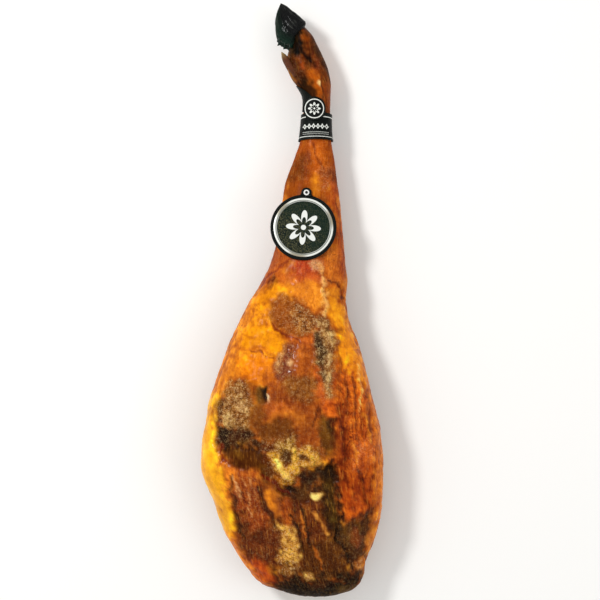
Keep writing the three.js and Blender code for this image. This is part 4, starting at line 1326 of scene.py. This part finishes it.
def rosette(tree, reach, turn, size):
    # eight hollow petals round a dot: the outline's reach follows a raised cosine of the direction
    wave = mathNode(tree, "COSINE", times(tree, turn, 8.0))
    petal = mathNode(tree, "POWER", mathNode(tree, "MULTIPLY_ADD", wave, 0.5, 0.5), 0.55)
    outline = mathNode(tree, "MULTIPLY_ADD", petal, 0.62 * size, 0.38 * size)
    edge = 0.008 * size
    flower = rampValue(tree, mathNode(tree, "SUBTRACT", outline, reach), -edge, edge)
    hollow = mathNode(tree, "MULTIPLY_ADD", petal, 0.30 * size, 0.30 * size)
    hollow = rampValue(tree, mathNode(tree, "SUBTRACT", hollow, reach), -edge, edge)
    dot = inverse(tree, rampValue(tree, reach, 0.14 * size, 0.155 * size))
    return larger(tree, mathNode(tree, "SUBTRACT", flower, hollow, clamp=True), dot)


def badgePrint(tree):
    reach, turn = polar(tree)
    middle = 0.5 * (badge["ringOuter"] + badge["ringInner"]) * mm
    half = 0.5 * (badge["ringOuter"] - badge["ringInner"]) * mm
    flower = rosette(tree, reach, turn, badge["petalReach"] * mm)
    return larger(tree, flower, bandMask(tree, reach, middle, half, 0.0001))


def makeBadge():
    # a disc with a soft edge, bent over a cylinder that lies along y; its level comes from the frame
    radius, thickness, bend = badge["radius"], badge["thickness"], badge["bend"]
    reach = np.concatenate([np.linspace(0.2, radius - 0.25, 26), [radius, radius, radius - 0.25, 0.2]])
    level = np.concatenate([np.full(26, thickness), [thickness - 0.25, 0.25, 0, 0]])
    columns = 140
    spin = np.arange(columns) / columns * 2 * math.pi
    x = reach[:, None] * np.cos(spin)
    y = reach[:, None] * np.sin(spin)
    z = level[:, None] + 0 * x
    around = x / bend
    bent = np.stack([(bend + z) * np.sin(around), y, (bend + z) * np.cos(around) - bend], axis=-1)
    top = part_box("label_badge")[1].z / mm
    place = np.array([badge["x"], badge["y"], top - thickness])
    points = (bent + place)[:, ::-1]
    local = np.stack([x, y, z], axis=-1)[:, ::-1]
    return addTube("labelBadge", points, local=local * mm)


def roundedBox(size, corner, middle):
    # a box as a grid: rounded-rectangle rings stacked from the bottom to the top
    half = np.array(size) / 2
    steps = np.array([0.0, 0.3, 0.7, 1.0]) * corner
    inset = corner - np.sqrt(np.maximum(corner ** 2 - (corner - steps) ** 2, 0))
    levels = np.concatenate([-half[2] + steps, half[2] - steps[::-1]])
    insets = np.concatenate([inset, inset[::-1]])
    spin = (np.arange(40) + 0.5) / 40 * 2 * math.pi
    signs = np.stack([np.sign(np.cos(spin)), np.sign(np.sin(spin))], axis=1)
    ring = signs * (half[:2] - corner) + corner * np.stack([np.cos(spin), np.sin(spin)], axis=1)
    shrink = (half[:2] - insets[:, None]) / half[:2]
    plan = ring[None] * shrink[:, None]
    rings = np.concatenate([plan, np.broadcast_to(levels[:, None, None], plan.shape[:2] + (1,))], -1)
    return rings[:, ::-1] + np.array(middle)


def makeSealHead(name, size, corner, shift):
    angle = np.array([0.0, math.pi, 1.5 * math.pi])
    right, left = legSurface(strapMiddle(angle[:2]), angle[:2])
    grow = sleeves["strapRise"] + sleeves["strapThickness"]
    under = legSurface(np.array([sleeves["strapMiddle"]]), angle[2:], grow)[0]
    slant = math.atan2(right[1] - left[1], right[0] - left[0])
    rings = roundedBox(size, corner, shift)
    cosine, sine = math.cos(slant), math.sin(slant)
    turn = np.array([[cosine, sine, 0], [-sine, cosine, 0], [0, 0, 1]])
    return addTube(name, rings @ turn + under)


def addLabelAndStrap():
    thickness = sleeves["labelThickness"]
    label = makeSleeve("labelBand", lambda angle: sleeves["labelFrom"] + labelBow(angle),
                       lambda angle: sleeves["labelTo"] + labelBow(angle),
                       sleeves["labelRise"], thickness, 60, sleeves["labelWrinkle"], 701)
    addPiece(label, filmMaterial("printed label", labelPrint), "label_band")
    addPiece(makeBadge(), filmMaterial("printed badge", badgePrint), "label_badge")
    plastic = filmMaterial("strap plastic", None, 0.34)
    half = sleeves["strapHalfWidth"]
    # it narrows where it goes under the label and widens down to it on the heel side
    strap = makeSleeve(
        "sealStrap",
        lambda angle: (strapMiddle(angle) - half
                       - sleeves["strapFlare"] * np.maximum(0, -np.cos(angle)) ** 2),
        lambda angle: (strapMiddle(angle) + half * (1 - 0.9 * np.sqrt(np.maximum(0, np.cos(angle))))
                       - sleeves["strapDip"] * np.maximum(0, np.sin(angle)) ** 4),
        sleeves["strapRise"], sleeves["strapThickness"], 50, sleeves["strapWrinkle"], 721)
    addPiece(strap, plastic, "seal_strap")
    length, height = sealHead["length"], sealHead["height"]
    lock = makeSealHead("sealLock", (length, sealHead["width"], height), sealHead["corner"],
                        (0, 0, sealHead["sunk"] - height / 2))
    addPiece(lock, plastic, "seal_strap")
    size = (length + sealHead["tail"], sealHead["tailWidth"], sealHead["tailThickness"])
    tail = makeSealHead("sealTail", size, sealHead["tailCorner"],
                        (-sealHead["tail"] / 2, 0, sealHead["tailLevel"]))
    addPiece(tail, plastic, "seal_strap")


addLabelAndStrap()
print("label, badge and strap made")


# the round tag

tag = {
    "x": 15.7,
    "y": 103.4,
    "radius": 47.3,
    "thickness": 3.2,
    "rimWidth": 4.3,
    "rimHeight": 0.8,
    "lugRadius": 7.4,
    "lugReach": 50.6,
    "lugWaist": 9.99,
    "lugOverlap": 2.8,
    "lean": -4.9,  # degrees, in its own plane
    "slopeRibs": (19.5, 21.5),
    "ringOuter": 42.6,
    "ringInner": 37.4,
    "ringHeight": 0.9,
    "trackMiddle": 39.25,
    "trackHalf": 0.75,
    "ticks": 28.0,
    "bevel": 0.6,
    "gap": 0.35,
    "petalReach": 25.0,
    "columns": 256,
    "pebbleScale": 620.0,
}

eyelet = {"flange": 4.1, "barrel": 2.3, "bore": 1.5, "flangeHeight": 0.7, "hole": 2.65}
pin = {"headRadius": 2.0, "headHeight": 0.9, "radius": 1.1, "depth": 17.0}


def tagPlace():
    # the tag slopes with the shank's crest under it; its level is found from its ring's
    crest = legSurface(np.array(tag["slopeRibs"]), np.full(2, 0.5 * math.pi))
    tilt = math.atan2(crest[1, 2] - crest[0, 2], crest[1, 1] - crest[0, 1])
    lean = math.radians(tag["lean"])
    cosine, sine = math.cos(lean), math.sin(lean)
    turn = np.array([[cosine, -sine, 0], [sine, cosine, 0], [0, 0, 1]])
    tip = np.array([[1, 0, 0], [0, math.cos(tilt), -math.sin(tilt)], [0, math.sin(tilt), math.cos(tilt)]])
    low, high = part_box("medallion_ring")
    ringLevel = tag["thickness"] - tag["rimHeight"] - 0.5 * tag["ringHeight"] + tag["gap"]
    level = 0.5 * (low.z + high.z) / mm - ringLevel * math.cos(tilt)
    return tip @ turn, np.array([tag["x"], tag["y"], level])


tagTurn, tagOrigin = tagPlace()


def onTag(points):
    return points @ tagTurn.T + tagOrigin


def turnedPiece(name, profile, middle, columns, closed):
    # a lathe profile of (reach, level) turned about an axis of the tag
    profile = np.array(profile, float)
    spin = np.arange(columns) / columns * 2 * math.pi
    x = middle[0] + profile[:, :1] * np.cos(spin)
    y = middle[1] + profile[:, :1] * np.sin(spin)
    local = np.stack([x, y, profile[:, 1:] + 0 * x], axis=-1)
    if not closed:
        middles = [onTag(np.array([*middle, level])) for level in profile[[0, -1], 1]]
        return addTube(name, onTag(local), middles, local=local * mm)
    piece = addMesh(name, onTag(local) * mm, gridFaces(len(profile), columns, closedRows=True))
    addAttribute(piece, "local", local * mm)
    return piece


def denseProfile(corners, step=0.35):
    # extra points close to each corner keep flat faces flat under smooth shading
    made = []
    corners = np.array(corners, float)
    for a, b in zip(corners[:-1], corners[1:]):
        length = np.linalg.norm(b - a)
        near = min(step, 0.2 * length) / max(length, 1e-9)
        made += [a + (b - a) * share for share in (0.0, near, 1 - near)]
    return np.array(made + [corners[-1]])


def makeTagDisc():
    radius, thickness, bevel = tag["radius"], tag["thickness"], tag["bevel"]
    field = thickness - tag["rimHeight"]
    groove = field - tag["ringHeight"]
    outer, inner = tag["ringOuter"] + tag["gap"], tag["ringInner"] - tag["gap"]
    profile = denseProfile([
        (0.2, 0), (radius - bevel, 0), (radius, bevel), (radius, thickness - bevel),
        (radius - bevel, thickness), (radius - tag["rimWidth"] + bevel, thickness), (outer, field),
        (outer, groove), (inner, groove), (inner, field),
        (inner - 8, field), (inner - 20, field), (0.2, field)])
    return turnedPiece("medallionDisc", profile, (0, 0), tag["columns"], False)


def makeTagLug():
    # the outline runs up one side, round the eyelet's end and down the other; rings step in from
    # it to the hole
    radius, lug, reach = tag["radius"], tag["lugRadius"], tag["lugReach"]
    base, waist = radius - tag["lugOverlap"], tag["lugWaist"]
    t = np.linspace(0, 1, 16)[:, None]
    side = ((1 - t) ** 2 * np.array([waist, base]) + 2 * t * (1 - t) * np.array([lug, radius + 1])
            + t ** 2 * np.array([lug, reach]))
    spin = np.linspace(0, math.pi, 34)[1:-1, None]
    arc = np.array([0, reach]) + lug * np.hstack([np.cos(spin), np.sin(spin)])
    bottom = np.linspace(-waist, waist, 18)[1:-1, None] * np.array([1, 0]) + np.array([0, base])
    outline = np.vstack([side, arc, side[::-1] * np.array([-1, 1]), bottom])
    away = outline - np.array([0, reach])
    hole = away / np.linalg.norm(away, axis=1)[:, None] * eyelet["hole"]
    thickness, soft = tag["thickness"], 0.35
    rings = []
    for share, level in ((0, 0), (0.94, 0), (1, soft),
                         (1, thickness - soft), (0.94, thickness), (0, thickness)):
        plan = hole * (1 - share) + away * share + np.array([0, reach])
        rings.append(np.hstack([plan, np.full((len(plan), 1), float(level))]))
    local = np.array(rings)
    piece = addMesh("medallionLug", onTag(local.reshape(-1, 3)) * mm,
                    gridFaces(len(rings), len(outline), closedRows=True))
    addAttribute(piece, "local", local * mm)
    return piece


def tagPlasticMaterial():
    # a pebbled field inside the ring with a plain silver rosette, smooth black outside it
    material, tree, shader = newMaterial("tag plastic")
    place = addNode(tree, "TexCoord").outputs["Object"]
    reach, turn = polar(tree)
    silver = rosette(tree, reach, turn, tag["petalReach"] * mm)
    edge = tag["ringInner"]
    inField = inverse(tree, rampValue(tree, reach, (edge - 0.4) * mm, edge * mm))
    pebble = addNode(tree, "TexVoronoi", {"Vector": place, "Scale": tag["pebbleScale"]}).outputs["Distance"]
    cloud = placeGroup(tree, toneGroup, {"Vector": place, "Size": 0.02})["Value"]
    # painted shade: the field darkens to dark green towards one side and shows its pale pebbles on the
    # other, as under light from that side
    across = times(tree, reach, mathNode(tree, "COSINE", mathNode(tree, "SUBTRACT", turn, 0.7)))
    paintedShade = rampValue(tree, mathNode(tree, "MULTIPLY_ADD", cloud, 0.05, across), 0.0, 0.045)
    field = mixColour(tree, rampValue(tree, pebble, 0.15, 0.55), (112, 108, 72), (8, 16, 10))
    field = mixColour(tree, mathNode(tree, "MULTIPLY_ADD", paintedShade, 0.55, 0.25), field, (3, 30, 18))
    colour = mixColour(tree, inField, (6, 12, 9), field)
    colour = mixColour(tree, silver, colour, (228, 230, 224))
    raised = times(tree, pebble, inField, inverse(tree, silver))
    normal = bumpFrom(tree, raised, 0.0008, 0.8)
    setInputs(tree, shader, {
        "Base Color": colour,
        "Metallic": times(tree, silver, 0.35),
        "Roughness": 0.36,
        "Specular IOR Level": 0.1,
        "Normal": bumpFrom(tree, silver, 0.0004, 0.8, normal),
    })
    return material


def ringMaterial():
    # bright outer and inner lines with a dull graduated track between them
    material, tree, shader = newMaterial("silver ring")
    reach, turn = polar(tree)
    track = bandMask(tree, reach, tag["trackMiddle"] * mm, tag["trackHalf"] * mm, 0.12 * mm)
    steps = mathNode(tree, "FRACT", times(tree, turn, tag["ticks"]))
    ticks = bandMask(tree, steps, 0.5, 0.22, 0.06)
    dull = mixColour(tree, ticks, (52, 58, 48), (176, 178, 168))
    # painted reflection: the foil turns brighter and darker three times round the ring, as reflections on
    # it would
    around = mathNode(tree, "COSINE", mathNode(tree, "MULTIPLY_ADD", turn, 3.0, -1.2))
    foilReflection = mixColour(tree, rampValue(tree, around, 0.3, 1.0), (232, 234, 226), (158, 150, 128))
    colour = mixColour(tree, track, foilReflection, dull)
    edge = tag["ringInner"]
    inside = inverse(tree, rampValue(tree, reach, (edge + 0.5) * mm, (edge + 0.9) * mm))
    colour = mixColour(tree, inside, colour, (14, 34, 24))
    setInputs(tree, shader, {
        "Base Color": colour,
        "Metallic": 0.25,
        "Roughness": 0.3,
        "Normal": bumpFrom(tree, track, 0.0003, -0.6),
    })
    return material


def plainMaterial(name, colour, roughness, metallic=0.0):
    material, tree, shader = newMaterial(name)
    place = addNode(tree, "TexCoord").outputs["Object"]
    grain = placeGroup(tree, grainGroup, {"Vector": place, "Size": 0.001})
    worn = tuple(0.9 * part for part in colour)
    setInputs(tree, shader, {
        "Base Color": mixColour(tree, grain["Height"], colour, worn),
        "Metallic": metallic,
        "Roughness": roughness,
        "Normal": bumpFrom(tree, grain["Height"], 0.0001, 0.4),
    })
    return material


def addTag():
    plastic = tagPlasticMaterial()
    addPiece(makeTagDisc(), plastic, "medallion")
    addPiece(makeTagLug(), plastic, "medallion")
    inner, outer, height = tag["ringInner"], tag["ringOuter"], tag["ringHeight"]
    floor = tag["thickness"] - tag["rimHeight"] - height + tag["gap"]
    top = floor + height
    profile = denseProfile([(inner, floor), (outer, floor), (outer, top - 0.2), (outer - 1.0, top),
                            (inner + 1.0, top), (inner, top - 0.2), (inner, floor)])[:-1]
    ring = turnedPiece("medallionRing", profile, (0, 0), tag["columns"], True)
    addPiece(ring, ringMaterial(), "medallion_ring")
    middle = (0, tag["lugReach"])
    face = tag["thickness"] + tag["gap"]
    high = face + eyelet["flangeHeight"]
    bore, barrel, flange = eyelet["bore"], eyelet["barrel"], eyelet["flange"]
    profile = denseProfile([
        (bore, 0.2), (barrel, 0.2), (barrel, face), (flange, face), (flange, face + 0.2),
        (flange - 0.5, high), (bore + 0.3, high), (bore, high - 0.3), (bore, 0.2)], 0.15)[:-1]
    grommet = turnedPiece("medallionEyelet", profile, middle, 72, True)
    pale = plainMaterial("eyelet plastic", (238, 238, 232), 0.3)
    addPiece(grommet, pale, "medallion_eyelet")
    seat, radius, head = high + tag["gap"], pin["radius"], pin["headRadius"]
    crown = seat + pin["headHeight"]
    profile = denseProfile([
        (0.1, -pin["depth"]), (radius, -pin["depth"] + radius), (radius, seat), (head, seat),
        (head, seat + 0.4), (head - 0.5, crown), (0.1, crown)], 0.15)
    nail = turnedPiece("medallionPin", profile, middle, 48, False)
    addPiece(nail, plainMaterial("pin steel", (44, 44, 44), 0.35, 0.7), "medallion_pin")


addTag()
print("tag made")


# floor, light and camera

studio = {
    "floorSize": 40.0,
    "floorColour": (246, 245, 242),
    "skyStrength": 0.72,
    "keyPower": 30.0,
    "fillPower": 6.0,
    "cameraHeight": 2.6,
    "viewWidth": 0.864,  # what the camera takes in at the height of the leg's edge
    "viewLevel": 0.06,
    "viewMiddleX": 0.0108,
}


def addFloor():
    half = studio["floorSize"] / 2
    corners = np.array([(-half, -half, 0), (half, -half, 0), (half, half, 0), (-half, half, 0)])
    sheet = (np.array([[0, 1, 2, 3]]), np.array([(0, 0), (1, 0), (1, 1), (0, 1)]))
    floor = addMesh("studioFloor", corners, sheet, smooth=False)
    material, tree, shader = newMaterial("pale floor")
    setInputs(tree, shader, {"Base Color": studio["floorColour"], "Roughness": 0.9})
    floor.data.materials.append(material)


def addAreaLight(name, place, aim, size, power, colour=(1.0, 1.0, 1.0)):
    light = bpy.data.lights.new(name, "AREA")
    light.shape = "DISK"
    light.size = size
    light.energy = power
    light.color = colour
    lamp = bpy.data.objects.new(name, light)
    lamp.location = place
    away = [p - a for p, a in zip(place, aim)]
    yaw = math.atan2(away[0], -away[1])
    lamp.rotation_euler = (math.atan2(math.hypot(away[0], away[1]), away[2]), 0.0, yaw)
    bpy.context.scene.collection.objects.link(lamp)


def addStudio():
    addFloor()
    world = bpy.data.worlds.new("pale studio")
    world.use_nodes = True
    background = world.node_tree.nodes["Background"]
    background.inputs["Color"].default_value = (1.0, 1.0, 1.0, 1.0)
    background.inputs["Strength"].default_value = studio["skyStrength"]
    bpy.context.scene.world = world
    addAreaLight("keyLight", (-1.2, 0.9, 2.0), (0, 0, 0.05), 0.45, studio["keyPower"])
    addAreaLight("fillLight", (1.6, -0.6, 1.8), (0, 0, 0.05), 1.4, studio["fillPower"])
    camera = bpy.data.cameras.new("camera")
    distance = studio["cameraHeight"] - studio["viewLevel"]
    camera.sensor_width = 36.0
    camera.lens = 36.0 * distance / studio["viewWidth"]
    camera.clip_end = 20.0
    stand = bpy.data.objects.new("camera", camera)
    stand.location = (studio["viewMiddleX"], 0.0, studio["cameraHeight"])
    bpy.context.scene.collection.objects.link(stand)
    bpy.context.scene.camera = stand
    bpy.context.scene.view_settings.view_transform = "Standard"


addStudio()
print("studio made")
